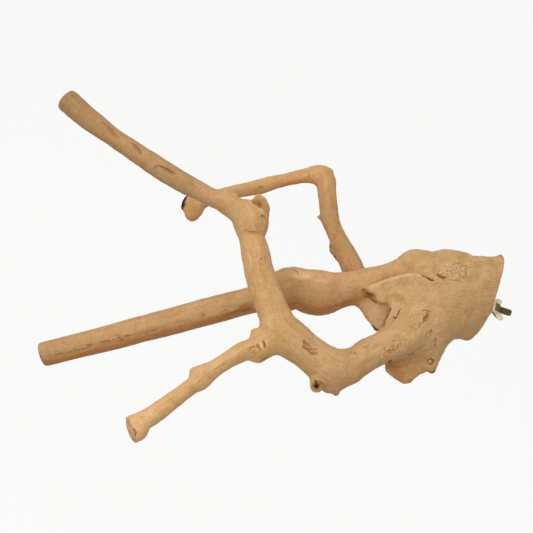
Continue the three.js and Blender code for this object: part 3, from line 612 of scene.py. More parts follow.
# pits: pixel, radius mm, depth mm, darkness, browning, ring
PITS = [
    (316.9, 386.1, 4.3, 8.0, 1.6, 1.1, 1.3), (429.9, 360.8, 3.2, 0.9, 0.0, 0.2, 0.8), (466.2, 312.0, 1.3, 0.3, 0.0, 0.45, 0.1),
    (260.2, 205.0, 2.6, 0.7, 0.05, 0.9, 0.3), (393.2, 349.6, 1.2, 0.5, 0.05, 0.5, 0.3),
    (397.4, 345.4, 1.1, 0.5, 0.05, 0.5, 0.2), (389.6, 353.2, 1.2, 0.5, 0.05, 0.5, 0.2),
    (384.4, 356.0, 1.1, 0.4, 0.05, 0.4, 0.2), (394.6, 341.2, 1.0, 0.4, 0.05, 0.4, 0.2),
    (411.2, 256.2, 1.1, 0.3, 0.05, 0.45, 0.2), (355.3, 353.4, 1.2, 0.5, 0.15, 0.7, 0.2), (347.2, 353.6, 1.0, 0.4, 0.05, 0.5, 0.1),
    (351.0, 352.4, 0.9, 0.4, 0.05, 0.5, 0.1), (304.2, 343.4, 1.8, 0.5, 0.05, 0.7, 0.3),
    (471.6, 262.2, 1.2, 0.4, 0.05, 0.4, 0.2), (284.6, 340.6, 1.2, 0.3, 0.0, 0.4, 0.2), (313, 337.6, 0.9, 0.3, 0.1, 0.5, 0.1),
    (315.2, 338.8, 0.8, 0.3, 0.1, 0.4, 0.1), (187, 376.8, 1.2, 0.4, 0.1, 0.5, 0.4),
    (329.4, 246.2, 1.3, 0.4, 0.1, 0.5, 0.3), (261.0, 187.2, 1.2, 0.3, 0.1, 0.6, 0.2),
    (71.6, 91.6, 1.0, 0.3, 0.5, 0.6, 0.0),
]
# stains: pixel, radii in pixels along and across, turn in degrees, strength, kind (0 brown, 1 olive, 2 red, 3 pale)
# some stains are painted shade in hollows and valleys (under the tongue, in the lower lobe's scoop, below the shell)
# and some pale ones are painted light on shaded faces (the web, the bulge's top); the rest are the wood's own stains
STAINS = [
    (399.5, 298.8, 8.5, 4.6, -25, 0.75, 1), (392, 296, 4, 3, 40, 0.45, 1), (411.8, 327.4, 4.6, 2.8, -10, 0.75, 1), (405.4, 303.2, 5, 2.4, -35, 0.5, 1), (466, 331, 6, 3, 20, 0.3, 1),
    (389.6, 363, 2.4, 4.2, 0, 0.9, 2), (389.4, 361.6, 2.0, 3.0, 0, 0.8, 0), (393, 368, 8.4, 5.6, -45, 0.95, 4), (400.5, 375.4, 9.5, 5.8, -10, 0.85, 4), (402, 366, 13, 6, 10, 0.5, 4), (391, 365, 4.5, 3.6, -30, 0.35, 0), (397, 366.4, 6, 1.8, 10, 0.4, 0), (411, 371.5, 10, 6, 30, 0.6, 4),
    (402, 379.6, 5, 2, 10, 0.35, 0), (418, 362, 12, 8, 0, 0.4, 4), (433, 363, 6, 7, 0, 0.4, 4),
    (426.2, 315.6, 2.6, 4.4, -25, 0.55, 0), (429.2, 313.6, 1.6, 2.2, 0, 0.5, 1), (366.5, 293.6, 5.5, 3.4, -25, 0.7, 0), (362.4, 292, 3.4, 5, 10, 0.5, 0), (375.8, 301.2, 3.2, 1.9, -50, 0.8, 0), (388.4, 311.6, 1.8, 5, 12, 0.5, 0), (383.2, 325.6, 1.8, 3.4, 30, 0.5, 0),
    (377, 327.6, 4.4, 2.2, -15, 0.3, 2), (356, 289, 7, 7, 0, 0.4, 2),
    (305.2, 344.2, 3.2, 3.0, -35, 0.5, 0), (311.6, 350.2, 7.5, 3.6, -40, 0.45, 0), (309.6, 346.6, 9, 4.2, -42, 0.5, 2),
    (366.4, 347.2, 5, 1.4, 15, 0.45, 0), (375.2, 346.2, 3.4, 1.2, 10, 0.4, 0), (351.4, 352.4, 5, 1.1, 8, 0.45, 0), (343.5, 353.4, 3, 1.0, 5, 0.4, 0), (365, 336.8, 6, 2.2, 30, 0.3, 2), (389, 350, 6, 3.2, 30, 0.3, 0),
    (261.6, 258, 2.4, 4.8, 8, 0.45, 1), (264.4, 262.6, 2, 5, 12, 0.4, 2), (266.4, 278.6, 1.8, 5, 8, 0.5, 2), (256.4, 254, 1.6, 3.4, 0, 0.25, 0), (253, 240, 5, 2.2, -12, 0.4, 2), (250, 233.2, 7, 1.3, -12, 0.35, 0),
    (259.0, 203.0, 6.0, 3.2, -42, 0.75, 0), (260.6, 200.6, 7.5, 3.4, -48, 0.8, 4), (265.2, 207.4, 2.6, 6.4, 12, 0.7, 4), (256.0, 200.6, 4.0, 2.0, -40, 0.6, 0), (261.6, 210.6, 4.6, 1.3, -44, 0.9, 3), (266.0, 216, 1.4, 3.6, 8, 0.5, 3), (262.6, 218.6, 3.6, 3.0, 0, 0.35, 4), (263, 217, 2.6, 1.8, 0, 0.4, 0),
    (261.4, 344.6, 1.3, 4.4, 12, 0.9, 3), (266.8, 344, 1.2, 3.8, 8, 0.7, 3), (251, 350, 6, 4, 25, 0.4, 0), (254.6, 351.6, 3, 2.4, 0, 0.6, 2), (267.6, 353.4, 3, 2.2, 0, 0.6, 1), (262, 357.6, 5, 2.4, 10, 0.5, 4), (282, 339.5, 8, 4, -20, 0.3, 2),
    (334.5, 237, 3, 5, 15, 0.7, 4), (338, 232, 2.5, 5, 18, 0.6, 4), (333.8, 247, 1.6, 4, 10, 0.8, 4), (341.6, 262, 2.5, 5, 20, 0.8, 4), (347, 269, 3, 6, 25, 0.6, 4), (331.4, 246, 1.6, 3.4, 0, 0.9, 1), (331.6, 205, 3, 9, 4, 0.5, 4), (329, 190, 4, 6, 0, 0.5, 4), (338, 251, 2.4, 4.4, 0, 0.5, 1),
    (80, 352, 38, 3.2, 14, 0.42, 4), (122, 341.8, 22, 3.0, 14, 0.5, 4), (131.4, 425.6, 6, 8, 18, 0.4, 3), (146, 414.6, 14, 4, 38, 0.32, 3), (188, 375, 14, 4, 35, 0.3, 3), (101, 342.3, 2.2, 1.3, 14, 0.8, 0), (104.6, 341.4, 1.8, 1.5, 0, 0.8, 0), (108.4, 341, 2.4, 1.1, 14, 0.8, 0), (112.4, 339.6, 1.8, 1.2, 14, 0.7, 0), (119.4, 337.4, 2.4, 1.4, 14, 0.9, 0), (121.6, 340.2, 4.4, 1.3, 14, 0.8, 0), (127, 341, 3.4, 1.1, 14, 0.6, 0), (90, 346.2, 3.4, 1.1, 14, 0.7, 0), (84, 348.4, 7, 1.1, 14, 0.8, 0), (75, 350.4, 6, 1.0, 14, 0.6, 0), (69, 352, 4, 1.3, 14, 0.6, 0), (60, 353.6, 5, 1.1, 14, 0.5, 0), (63.4, 342.4, 1.6, 1.1, 0, 0.6, 0), (140, 334.2, 1.8, 1.2, 14, 0.7, 1), (146.4, 333.4, 2.0, 1.3, 14, 0.7, 0), (138.6, 317.8, 2.2, 1.0, 14, 0.7, 0), (264.8, 346, 5, 5, 0, 0.25, 1), (256.4, 353.6, 7, 3.6, 15, 0.35, 0), (246, 350.4, 5, 3, 30, 0.4, 2), (238, 355.6, 6, 2.4, 33, 0.35, 2), (278, 323, 5, 3, 0, 0.3, 2), (280, 337.6, 7, 2.6, 10, 0.3, 1),
    (316.8, 386.6, 7.2, 7.2, 0, 0.35, 2), (322, 383, 1.8, 1.4, 0, 0.8, 2), (317.2, 380.6, 4, 1.4, 0, 0.6, 0), (325.4, 386.6, 1.6, 3.6, 10, 0.6, 1), (327, 391.4, 3.6, 1.8, 0, 0.5, 1), (335, 393.2, 4, 2, 0, 0.4, 0),
    (220, 317.4, 36, 3.4, 14, 1.0, 2), (176, 328.2, 22, 2.8, 14, 0.75, 2), (112, 341.2, 26, 2.6, 14, 0.6, 4), (150, 330.4, 30, 3.2, 14, 0.5, 4), (245, 306, 12, 4.0, 14, 0.6, 0), (236, 311.4, 16, 2.4, 14, 0.7, 0), (247, 309.4, 8, 2.6, 14, 0.7, 0), (112, 340.8, 22, 2.4, 14, 0.5, 2), (62, 353.2, 20, 2.0, 14, 0.5, 2), (317, 309, 14, 2.6, 3, 0.7, 2), (342, 303.4, 14, 2.6, 14, 0.45, 0), (330, 300, 10, 3, 5, 0.4, 2),
    (104, 340.6, 5, 1.5, 14, 0.45, 0), (117, 334.8, 4.6, 1.4, 14, 0.5, 0), (126, 334.4, 4.0, 1.2, 14, 0.45, 0), (93, 344.6, 3.4, 1.3, 14, 0.35, 0), (108, 341.4, 4, 1.1, 14, 0.45, 0), (180, 322, 3, 1.2, 14, 0.3, 0), (205, 315.4, 3.2, 1.1, 14, 0.4, 2), (226, 306, 4, 1.2, 14, 0.3, 0),
    (95.4, 119.6, 3, 3.4, -40, 0.4, 1), (103, 123.6, 6, 2.0, -20, 0.5, 0), (111.4, 130.4, 6, 2.0, -42, 0.6, 0), (119, 136.4, 4, 1.2, -38, 0.4, 0), (135.6, 146.6, 4.4, 1.4, -38, 0.5, 0), (139.6, 152, 3.4, 1.6, -50, 0.5, 0), (156, 166.4, 2.4, 2.2, -40, 0.6, 0), (168.0, 170.2, 11, 2.0, -25, 0.9, 4), (136.6, 148.4, 7, 2.4, -42, 1.0, 4), (112, 132.6, 14, 2.6, -42, 0.85, 4), (92, 122, 6, 5, 0, 0.4, 4), (96.4, 119, 3, 3, 0, 0.4, 1), (200, 190.6, 10, 3, -28, 0.4, 4), (190, 183.6, 8, 1.7, -28, 0.3, 2),
    (73.0, 96.0, 3.6, 3.2, -40, 0.65, 2), (66.4, 98.4, 2.4, 5, 30, 0.35, 0), (90, 114.6, 8, 1.6, -40, 0.25, 0), (236, 206, 7, 3.2, -20, 0.25, 2), (148, 160, 9, 3, -38, 0.3, 1),
    (222.6, 364.8, 8, 2, 33, 0.4, 2), (211.4, 374.8, 7, 2.2, 33, 0.4, 2), (199.6, 381.6, 7, 3, 35, 0.3, 0), (178, 395.6, 8, 1.8, 38, 0.35, 2), (158, 411, 8, 2, 38, 0.3, 2), (190.6, 371.6, 3, 1.6, -20, 0.4, 0), (193.6, 375.6, 3, 2, 0, 0.35, 2), (141.4, 417, 3.4, 1.4, 0, 0.35, 0),
    (329.6, 247.4, 1.8, 4.0, 0, 0.95, 1), (331.2, 252.6, 1.8, 2.4, 0, 0.7, 0), (331.4, 242, 1.6, 2, 0, 0.4, 0), (349, 262, 3.4, 7, 25, 0.3, 2), (333, 181, 4, 3.4, 0, 0.25, 2), (326, 176.6, 7, 2.2, -8, 0.3, 2), (286, 180.4, 9, 1.4, 13, 0.3, 2), (261, 187, 6, 1.4, 13, 0.5, 0), (338, 233, 2.4, 6, 18, 0.3, 0),
    (184.0, 202.6, 2.2, 5.4, 20, 0.8, 0), (193, 216.6, 6, 3.2, -10, 0.35, 1), (201.6, 206, 3, 3.4, 0, 0.3, 0),
    (41.6, 355, 1.6, 9.6, 12, 0.35, 0), (129.6, 428.4, 4.6, 9, 18, 0.25, 2), (431.6, 372.4, 4, 1.8, 0, 0.9, 0), (376, 329.4, 4.4, 1.6, -15, 0.8, 0), (501.6, 255.6, 3.2, 1.6, 0, 0.6, 0), (429.9, 360.8, 1.4, 1.4, 0, 0.7, 3),
    (458, 308, 26, 15, -30, 0.42, 1), (424, 341, 16, 9, -50, 0.3, 1), (400, 290, 16, 6, 16, 0.45, 3), (441, 288.6, 5, 2.4, 10, 0.3, 1), (475, 300, 14, 8, -20, 0.4, 1), (462, 319, 12, 6, 20, 0.3, 1), (445, 259.6, 9, 3.0, 0, 0.5, 1), (434.4, 268, 3.6, 10, 0, 0.6, 1), (440, 262.6, 3.4, 3, 30, 0.25, 0), (459, 257.6, 5, 2, 0, 0.5, 1), (476, 266, 4, 9, -14, 0.45, 1), (489, 262, 5, 8, 0, 0.45, 1), (497, 268, 2.6, 14, -6, 0.5, 4), (444, 279, 10, 1.6, -4, 0.4, 1), (452.3, 270.8, 13, 8, 0, 0.35, 3), (475, 262, 8, 3.6, 0, 0.4, 1), (440.6, 276.4, 4, 1.4, -15, 0.7, 0), (452, 272, 12, 6, 5, 0.2, 2), (484, 276, 8, 5, 0, 0.25, 3), (434, 296, 12, 6, 10, 0.3, 3), (399, 281, 12, 3, 18, 0.35, 3), (322, 281, 16, 5, 0, 0.35, 3), (302, 276, 13, 4, 0, 0.8, 3), (308, 290, 13, 6, 0, 0.42, 1), (330, 287, 8, 5, 10, 0.35, 1), (448, 326, 10, 6, 30, 0.2, 3),
    (402, 340, 13, 7, 25, 0.3, 1), (412, 336, 3, 5, 0, 0.4, 3), (416, 268, 14, 3.6, 5, 0.35, 0), (377, 311, 9, 12, 0, 0.5, 3), (371, 305, 7, 5, -40, 0.4, 3), (390, 288, 16, 3.0, 18, 0.35, 1), (412, 288, 10, 6, 0, 0.3, 3), (372, 290.0, 5, 2, -40, 0.5, 3),
]
# black edges: pixels of a line, half width in pixels, darkness, nearest and farthest depth in mm
BLACK_EDGES = [
    ([(371.6, 324.4), (373.2, 327.8), (376.0, 330.4), (379.6, 331.2)], 1.5, 1.0, 8, -16),
    ([(186.6, 196.2), (184.4, 199.2), (182.2, 203.0), (181.8, 206.0), (183.0, 208.8)], 1.7, 1.0, -20, -60),
    ([(427.6, 371.2), (430.6, 373.4), (433.8, 372.8), (436.0, 369.6)], 1.3, 1.0, 60, 12),
    ([(330.0, 243.6), (329.4, 246.4), (330.0, 249.0)], 1.3, 0.3, -50, -100),
    ([(329.6, 251.4), (330.8, 254.2), (333.2, 256.4), (335.8, 257.2)], 0.9, 0.85, -50, -100),
    ([(500.2, 254.0), (502.8, 254.6), (504.4, 257.4)], 0.9, 0.6, 60, -80),
    ([(134.0, 427.6), (135.6, 432.4), (135.4, 436.4)], 0.6, 0.5, 190, 110),
    ([(128.4, 438.8), (131.6, 440.4), (134.6, 439.2)], 0.8, 0.7, 190, 110),
]
# patches of fine bumps: pixel, radii in pixels, turn in degrees, height mm
BUMPS = [(400, 341, 26, 12, 24, 0.62), (432, 336, 8, 12, 0, 0.30), (430, 318, 10, 10, 0, 0.22), (262, 345, 9, 8, 0, 0.30), (278, 335, 14, 8, -20, 0.22), (310, 348, 12, 6, -42, 0.26),
         (366, 346, 16, 6, 30, 0.36), (388, 352, 10, 6, 24, 0.5), (420, 280, 20, 8, 0, 0.18), (478, 300, 14, 26, 0, 0.16), (196, 330, 60, 8, 14, 0.12), (100, 350, 60, 8, 14, 0.12), (395, 300, 10, 8, 0, 0.2), (372, 315, 12, 12, 0, 0.22), (250, 215, 14, 14, 0, 0.2), (196, 380, 14, 9, 33, 0.22), (470, 262, 14, 8, 0, 0.22), (323, 384, 8, 8, 0, 0.3)]


def local_points(verts, pts3, reach):
    c = pts3.mean(0)
    r = np.linalg.norm(pts3 - c, axis=1).max() + reach
    return np.flatnonzero(((verts - c) ** 2).sum(1) < r * r)


def build_wood(report=None):
    """Vertices in camera millimetres, triangles, grain coordinates and their weights, the surface's painted values and
    the limbs' radii.
    """
    field, paths = carve_field()
    finish_cuts(field)
    verts, quads = surface_nets(field)
    verts = settle(field, verts)
    tris = triangles(quads, verts)
    normals = normals_of(verts, tris)

    strokes = [(np.array([front_of(verts, *p) for p in line]), width, depth, dark, brown) for line, width, depth, dark, brown in STROKES]
    pits = [(front_of(verts, p[0], p[1]), *p[2:]) for p in PITS]
    rng = np.random.default_rng(77)
    part = to_part(verts)
    # the side that the photograph doesn't show: knots and short cracks along the grain, at random
    hidden = np.flatnonzero((normals[:, 2] < -0.25) & (part[:, 1] < -6))
    coords, weight, near, radius = grain_of(verts, paths)
    for k in range(22):
        i = hidden[rng.integers(len(hidden))]
        tangent = grain_direction(verts[i : i + 1], paths)[0]
        tangent -= normals[i] * (tangent @ normals[i])
        tangent /= max(np.linalg.norm(tangent), 1e-6)
        if k % 3 == 0:
            pits.append((verts[i], rng.uniform(1.8, 3.4), rng.uniform(1.0, 2.4), rng.uniform(0.3, 0.8), 0.9, rng.uniform(0.5, 1.1)))
        else:
            side = np.cross(normals[i], tangent)
            half = rng.uniform(5, 14)
            line = np.array([verts[i] + tangent * half * t + side * rng.uniform(-0.9, 0.9) for t in (-1, -0.4, 0.3, 1)])
            strokes.append((line, rng.uniform(0.7, 1.4), rng.uniform(0.8, 2.2), rng.uniform(0.4, 1.0), rng.uniform(0.3, 0.8)))

    # finer triangles where there is fine detail
    rosette = front_of(verts, 451, 269)
    for level, grow in ((0, 3.0), (1, 1.3)):
        zone = np.zeros(len(verts), bool)
        for line, width, depth, dark, brown in strokes:
            if level == 1 and width > 2.6:
                continue
            at = local_points(verts, line, width + grow)
            d, _ = line_distance(verts[at], line)
            zone[at[d < width + grow]] = True
        for c, r, depth, dark, brown, ring in pits:
            zone |= ((verts - c) ** 2).sum(1) < (r * 1.6 + grow) ** 2
        if level == 0:
            px, py = pixels(verts[:, 0], verts[:, 1], verts[:, 2])
            zone |= (((px - 452) / 18) ** 2 + ((py - 269) / 12.5) ** 2 < 1) & (verts[:, 2] > rosette[2] - 14)
        verts, tris, _ = refine(verts, tris, zone)
        verts = settle(field, verts, 1)
    normals = normals_of(verts, tris)
    part = to_part(verts)
    coords, weight, near, radius = grain_of(verts, paths)
    n = len(verts)
    px, py = pixels(verts[:, 0], verts[:, 1], verts[:, 2])
    paint = {k: np.zeros(n) for k in ("dark", "brown", "olive", "red", "pale", "orange", "cut", "rough")}
    push = np.zeros(n)

    # flats that a saw left
    sawn = (part[:, 1] > -0.6) & (normals @ AXES[1] > 0.75)
    ends = np.zeros(n, bool)
    for c, axis in ((seen(41.2, 355.1, -7), (-0.95, -0.30, -0.06)), (seen(129.8, 427.6, 147), (-0.888, -0.274, 0.37)), (seen(64.6, 97.6, 40.3), (-0.74, 0.67, -0.1))):
        axis = np.array(axis) / np.linalg.norm(axis)
        ends |= (np.linalg.norm(verts - c, axis=1) < 20) & (np.abs((verts - c) @ axis) < 1.6) & (normals @ axis > 0.72)
    flat = sawn | ends
    paint["cut"][sawn] = 1.0
    paint["cut"][ends] = 0.6
    quiet = np.clip((-part[:, 1] - 0.2) / 4, 0, 1) * np.where(flat, 0.15, 1.0)
    quiet *= 1 - 0.5 * weight[:, 1] * (near == 0) * np.clip((coords[:, 1, 0] - 240) / 40, 0, 1)  # the long perch is turned nearly smooth

    # lumps and long ridges
    slot = weight.argmax(1)
    g = coords[np.arange(n), slot]
    push += quiet * (0.35 + 0.7 * noise(part / 34, 1) + 0.5 * noise(part / 15 + 7, 2) + 0.30 * noise(part / 6.5 + 3, 3) + 0.10 * noise(part / 3.1 + 4, 34))
    ridge = np.zeros(n)
    for k in range(3):
        c = coords[:, k]
        ridge += weight[:, k] * (0.30 * noise(c / (34, 7.5, 7.5) + 11, 4) + 0.12 * noise(c / (18, 3.2, 3.2) + 5, 5))
    push += quiet * ridge
    crown = weight[:, 0]
    push += quiet * crown * (0.5 * noise(part / 10 + 1.7, 6) + 0.25 * noise(part / 4.6, 7))

    # the round chewed patch: pale painted on its ridges is painted highlight, brown in its crevices and along its rim
    # is painted shade
    ex, ey = (px - 452.3) / 14.6, (py - 270.9) / 9.4
    wob = noise(np.stack([px / 5, py / 5, px * 0], 1), 8) * 0.20 + noise(np.stack([px / 2.2, py / 2.2, px * 0], 1), 38) * 0.08
    q = np.sqrt(ex * ex + ey * ey) + wob
    there = verts[:, 2] > rosette[2] - 15
    inside = np.clip((1.04 - q) / 0.26, 0, 1) * there
    rim = np.clip(0.45 + 0.55 * ex + 0.35 * ey, 0.0, 1)
    swirl = np.arctan2(ey, ex) + 1.4 * q
    a1 = noise(np.stack([np.cos(swirl) * q * 7.5, np.sin(swirl) * q * 7.5, q * 3], 1), 9)
    a2 = noise(np.stack([px / 1.7, py / 1.5, verts[:, 2] / 3], 1), 10)
    a3 = noise(np.stack([px / 3.4 + 9, py / 2.6, verts[:, 2] / 5], 1), 11)
    crevice = np.maximum(np.exp(-((a1 / 0.075) ** 2)), 0.6 * np.exp(-((a2 / 0.09) ** 2)))
    push += inside * (0.55 + 0.9 * a3 + 0.5 * a1 - 1.25 * crevice)
    paint["pale"] = np.maximum(paint["pale"], inside * (1 - crevice) * np.clip(0.75 + 1.2 * a3, 0, 1))
    push -= 1.0 * np.exp(-(((q - 1.05) / 0.10) ** 2)) * there * rim * np.clip(0.6 + 0.9 * noise(np.stack([px / 4, py / 4, px * 0], 1), 12), 0, 1.2)
    push += 0.3 * np.exp(-(((q - 1.2) / 0.12) ** 2)) * there * rim
    paint["brown"] = np.maximum(paint["brown"], there * 0.60 * rim * np.exp(-(((q - 1.05) / 0.08) ** 2)))
    paint["brown"] = np.maximum(paint["brown"], inside * 0.66 * crevice)
    paint["rough"] = np.maximum(paint["rough"], inside)

    # patches of fine bumps, and the step along the shell's upper edge
    fine = noise(verts / (2.6, 3.6, 3.0) + 2, 35) + 0.6 * noise(verts / (1.5, 2.2, 1.8) + 6, 36)
    for bx, by, ra, rb, turn, tall in BUMPS:
        a = math.radians(turn)
        dx, dy = px - bx, -(py - by)
        u = np.sqrt(((dx * math.cos(a) + dy * math.sin(a)) / ra) ** 2 + ((-dx * math.sin(a) + dy * math.cos(a)) / rb) ** 2)
        push += 2.2 * tall * np.clip(1.3 - u, 0, 1) * fine * (normals[:, 2] > 0) * np.clip(normals[:, 2] * 3, 0, 1)
    step = np.array([(365.0, 287.6), (372, 284.9), (380, 281.7), (388, 278.9), (396, 276.7), (404, 274.8), (411, 273.4), (416, 273.2), (421, 274.8)])
    zone = np.flatnonzero((np.abs(px - 393) < 34) & (np.abs(py - 280) < 18) & (normals[:, 2] > -0.1) & (verts[:, 2] > -40))
    off, t = line_distance(np.stack([px[zone], py[zone]], 1), step)
    off *= np.where(py[zone] < np.interp(px[zone], step[:, 0], step[:, 1]), 1, -1)
    ends_of = np.clip(np.minimum(t * 9, (1 - t) * 5), 0, 1)
    ends_of *= np.clip((px[zone] - 362) / 3, 0, 1) * np.clip((424 - px[zone]) / 3, 0, 1)
    under = np.clip(off / 0.9, 0, 1)
    push[zone] -= ends_of * under * 3.2 * np.exp(-np.clip(off - 0.9, 0, 40) / 4.2)
    push[zone] += ends_of * 0.8 * np.exp(-(((off + 1.2) / 1.6) ** 2))
    # brown above the lip is painted shade in the recess behind it; pale along the lip is a painted highlight
    paint["brown"][zone] = np.maximum(paint["brown"][zone], ends_of * under * 0.55 * np.exp(-np.clip(off - 0.6, 0, 40) / 3.0))
    paint["pale"][zone] = np.maximum(paint["pale"][zone], ends_of * 0.7 * np.exp(-(((off + 1.4) / 1.5) ** 2)))

    # folds hanging from the shell over the front limb
    fold = noise(np.stack([(px * 0.92 + py * 0.40) / 2.6, (py * 0.92 - px * 0.40) / 9.0, verts[:, 2] / 30], 1) + 4, 48)
    fold_at = np.exp(-(((px - 404) / 15) ** 2) - ((py - 338) / 11) ** 2) + 0.8 * np.exp(-(((px - 432) / 8) ** 2) - ((py - 338) / 12) ** 2)
    push += 0.75 * fold * np.clip(fold_at * 1.3, 0, 1) * np.clip(normals[:, 2] * 3, 0, 1)
    # brown in the folds' hollows: painted shade
    paint["brown"] = np.maximum(paint["brown"], np.clip(-fold * 2.2 - 0.25, 0, 1) * np.clip(fold_at, 0, 1) * 0.30 * (normals[:, 2] > 0.05))

    # strokes and pits: cut in, darkened and browned, partly the wood's own marks and partly painted shade in the
    # cracks, creases and hollows
    for line, width, depth, dark, brown in strokes:
        at = local_points(verts, line, width * 2.2 + 1)
        jitter = np.stack([noise(verts[at] / 3.1 + s, 13 + s) for s in (0, 1, 2)], 1) * min(1.0, width * 0.5)
        d, t = line_distance(verts[at] + jitter, line)
        taper = np.clip(np.minimum(t, 1 - t) * 5, 0.25, 1)
        u = d / (width * taper)
        shape = np.clip(1 - u, 0, 1)
        push[at] -= depth * taper * shape * (1.6 - 0.6 * shape) - 0.18 * np.clip(1 - np.abs(u - 1.5) / 0.6, 0, 1)
        paint["dark"][at] = np.maximum(paint["dark"][at], dark * np.clip(1.25 - u * 1.25, 0, 1))
        paint["brown"][at] = np.maximum(paint["brown"][at], brown * np.clip(1.7 - u, 0, 1))
    for c, r, depth, dark, brown, ring in pits:
        at = np.flatnonzero(((verts - c) ** 2).sum(1) < (2.4 * r + 1) ** 2)
        jitter = np.stack([noise(verts[at] / (r * 1.4) + s, 16 + s) for s in (0, 1, 2)], 1) * r * 0.16
        u = np.linalg.norm(verts[at] + jitter - c, axis=1) / r
        shape = np.clip(1.15 - u, 0, 1)
        push[at] -= depth * shape * (1.7 - 0.7 * shape)
        push[at] += 0.5 * ring * np.exp(-(((u - 1.35) / 0.28) ** 2)) - 0.25 * ring * np.exp(-(((u - 1.85) / 0.2) ** 2))
        paint["dark"][at] = np.maximum(paint["dark"][at], dark * np.clip(1.35 - u * 1.15, 0, 1))
        paint["brown"][at] = np.maximum(paint["brown"][at], brown * np.clip(1.6 - u, 0, 1))

    # edges painted black, where the surface turns away from the viewer
    for line, wide, dark, nearest, farthest in BLACK_EDGES:
        box = np.flatnonzero((np.abs(px - line[0][0]) < 20) & (np.abs(py - line[0][1]) < 20) & (verts[:, 2] < nearest) & (verts[:, 2] > farthest) & (normals[:, 2] > -0.5))
        off, t = line_distance(np.stack([px[box], py[box]], 1) + 0.25 * np.stack([noise(verts[box] / 2.2, 44), noise(verts[box] / 2.2 + 9, 45)], 1), np.array(line))
        u = off / (wide * np.clip(np.minimum(t, 1 - t) * 5, 0.35, 1))
        paint["dark"][box] = np.maximum(paint["dark"][box], dark * np.clip(2 - 1.6 * u, 0, 1))
        paint["brown"][box] = np.maximum(paint["brown"][box], np.clip(2.2 - 1.3 * u, 0, 1))
        push[box] -= 0.5 * np.clip(1.3 - u, 0, 1)

    # stains: the wood's own, with painted shade in hollows and painted light on shaded faces
    kinds = ("brown", "olive", "red", "pale", "orange")
    wobble = np.stack([noise(verts / 7 + 31, 20), noise(verts / 7 + 57, 21)], 1) * 1.1 + np.stack([noise(verts / 2.6 + 31, 22), noise(verts / 2.6 + 57, 23)], 1) * 0.6
    for sx, sy, ra, rb, turn, strength, kind in STAINS:
        box = (np.abs(px - sx) < max(ra, rb) * 1.5 + 3) & (np.abs(py - sy) < max(ra, rb) * 1.5 + 3) & (normals[:, 2] > 0.02)
        at = np.flatnonzero(box)
        if not len(at):
            continue
        top = front_of(verts, sx, sy)[2]
        at = at[np.abs(verts[at, 2] - top) < 24]
        a = math.radians(turn)
        dx, dy = px[at] - sx + wobble[at, 0], -(py[at] - sy) + wobble[at, 1]
        u = np.sqrt(((dx * math.cos(a) + dy * math.sin(a)) / ra) ** 2 + ((-dx * math.sin(a) + dy * math.cos(a)) / rb) ** 2)
        value = strength * np.clip(1.35 - u, 0, 1) / 1.1
        name = kinds[kind]
        paint[name][at] = np.maximum(paint[name][at], np.clip(value, 0, 1))
    # stains where the photograph shows nothing, more loosely
    away = np.clip((-normals[:, 2] - 0.05) * 4, 0, 1)
    paint["brown"] = np.maximum(paint["brown"], away * np.clip(noise(part / 17 + 3, 24) * 1.7 - 0.35, 0, 0.7))
    paint["olive"] = np.maximum(paint["olive"], away * np.clip(noise(part / 25 + 8, 25) * 1.6 - 0.3, 0, 0.6))
    paint["red"] = np.maximum(paint["red"], away * np.clip(noise(part / 21 + 5, 26) * 1.6 - 0.3, 0, 0.6))

    paint["warm"] = weight[:, 1] * np.array([0.8, 0.2, 0.6])[near]
    far = (near == 1) * np.clip((coords[:, 1, 0] - 130 - 400) / 60, 0, 1)  # the upper perch is painted darker, most of all at its tip: partly the wood's tone, partly painted shade
    tip = (near == 1) * np.clip((coords[:, 1, 0] - 130 - 560) / 90, 0, 1)
    arc_p, arc_e = coords[:, 1, 0] - 130, coords[:, 1, 0] - 260
    riser = (near == 1) * np.clip((arc_p - 225) / 40, 0, 1) * np.clip((385 - arc_p) / 30, 0, 1)
    bar = (near == 2) * np.clip((arc_e - 215) / 30, 0, 1)
    post = (near == 2) * np.clip((210 - arc_e) / 30, 0, 1)
    # base colour darker or lighter by limb and along it: partly the wood's own tone, partly painted shade and painted
    # light
    paint["dusk"] = weight[:, 1] * (0.55 * far + 0.45 * tip - 0.32 * riser - 0.42 * bar + 0.24 * post) - 0.38 * weight[:, 2]
    paint["warm"] = np.maximum(paint["warm"], weight[:, 1] * 0.5 * far)
    arc_a, arc_s = coords[:, 1, 0], coords[:, 2, 0] - 400
    paint["dusk"] += weight[:, 1] * (near == 0) * (0.05 + 0.22 * np.clip((arc_a - 440) / 60, 0, 1)) * np.clip((arc_a - 230) / 40, 0, 1)
    paint["dusk"] -= 0.32 * weight[:, 2] * np.clip((arc_s - 120) / 60, 0, 1)
    # on the front limb: a painted shade band across the bulge's middle, a painted highlight along its top, painted
    # shade on faces turned downwards, and darker towards its far end
    paint["dusk"] += weight[:, 1] * (near == 0) * (normals[:, 2] > -0.1) * (
        0.30 * np.exp(-(((px - 322) / 24) ** 2) - ((py - 292) / 5.5) ** 2) - 0.30 * np.exp(-(((px - 308) / 24) ** 2) - ((py - 274.5) / 4.5) ** 2)
        + 0.14 * np.clip((arc_a - 250) / 30, 0, 1) * np.clip((480 - arc_a) / 60, 0, 1) * np.clip(0.4 - normals[:, 1], 0, 1)
        + 0.12 * np.clip((arc_a - 460) / 40, 0, 1))
    # the crown's lower front painted lighter: painted light where the surface faces down
    paint["dusk"] -= 0.16 * weight[:, 0] * np.exp(-(((px - 432) / 16) ** 2) - ((py - 341) / 14) ** 2)
    paint["orange"] = np.maximum(paint["orange"], 0.32 * weight[:, 1] * far)
    # the web painted lighter: painted light where it lies in shadow
    paint["dusk"] -= 0.15 * np.exp(-(((px - 374) / 9) ** 2 + ((py - 312) / 12) ** 2)) * np.clip(normals[:, 2] * 2, 0, 1) * (verts[:, 2] < 20) * 0.45
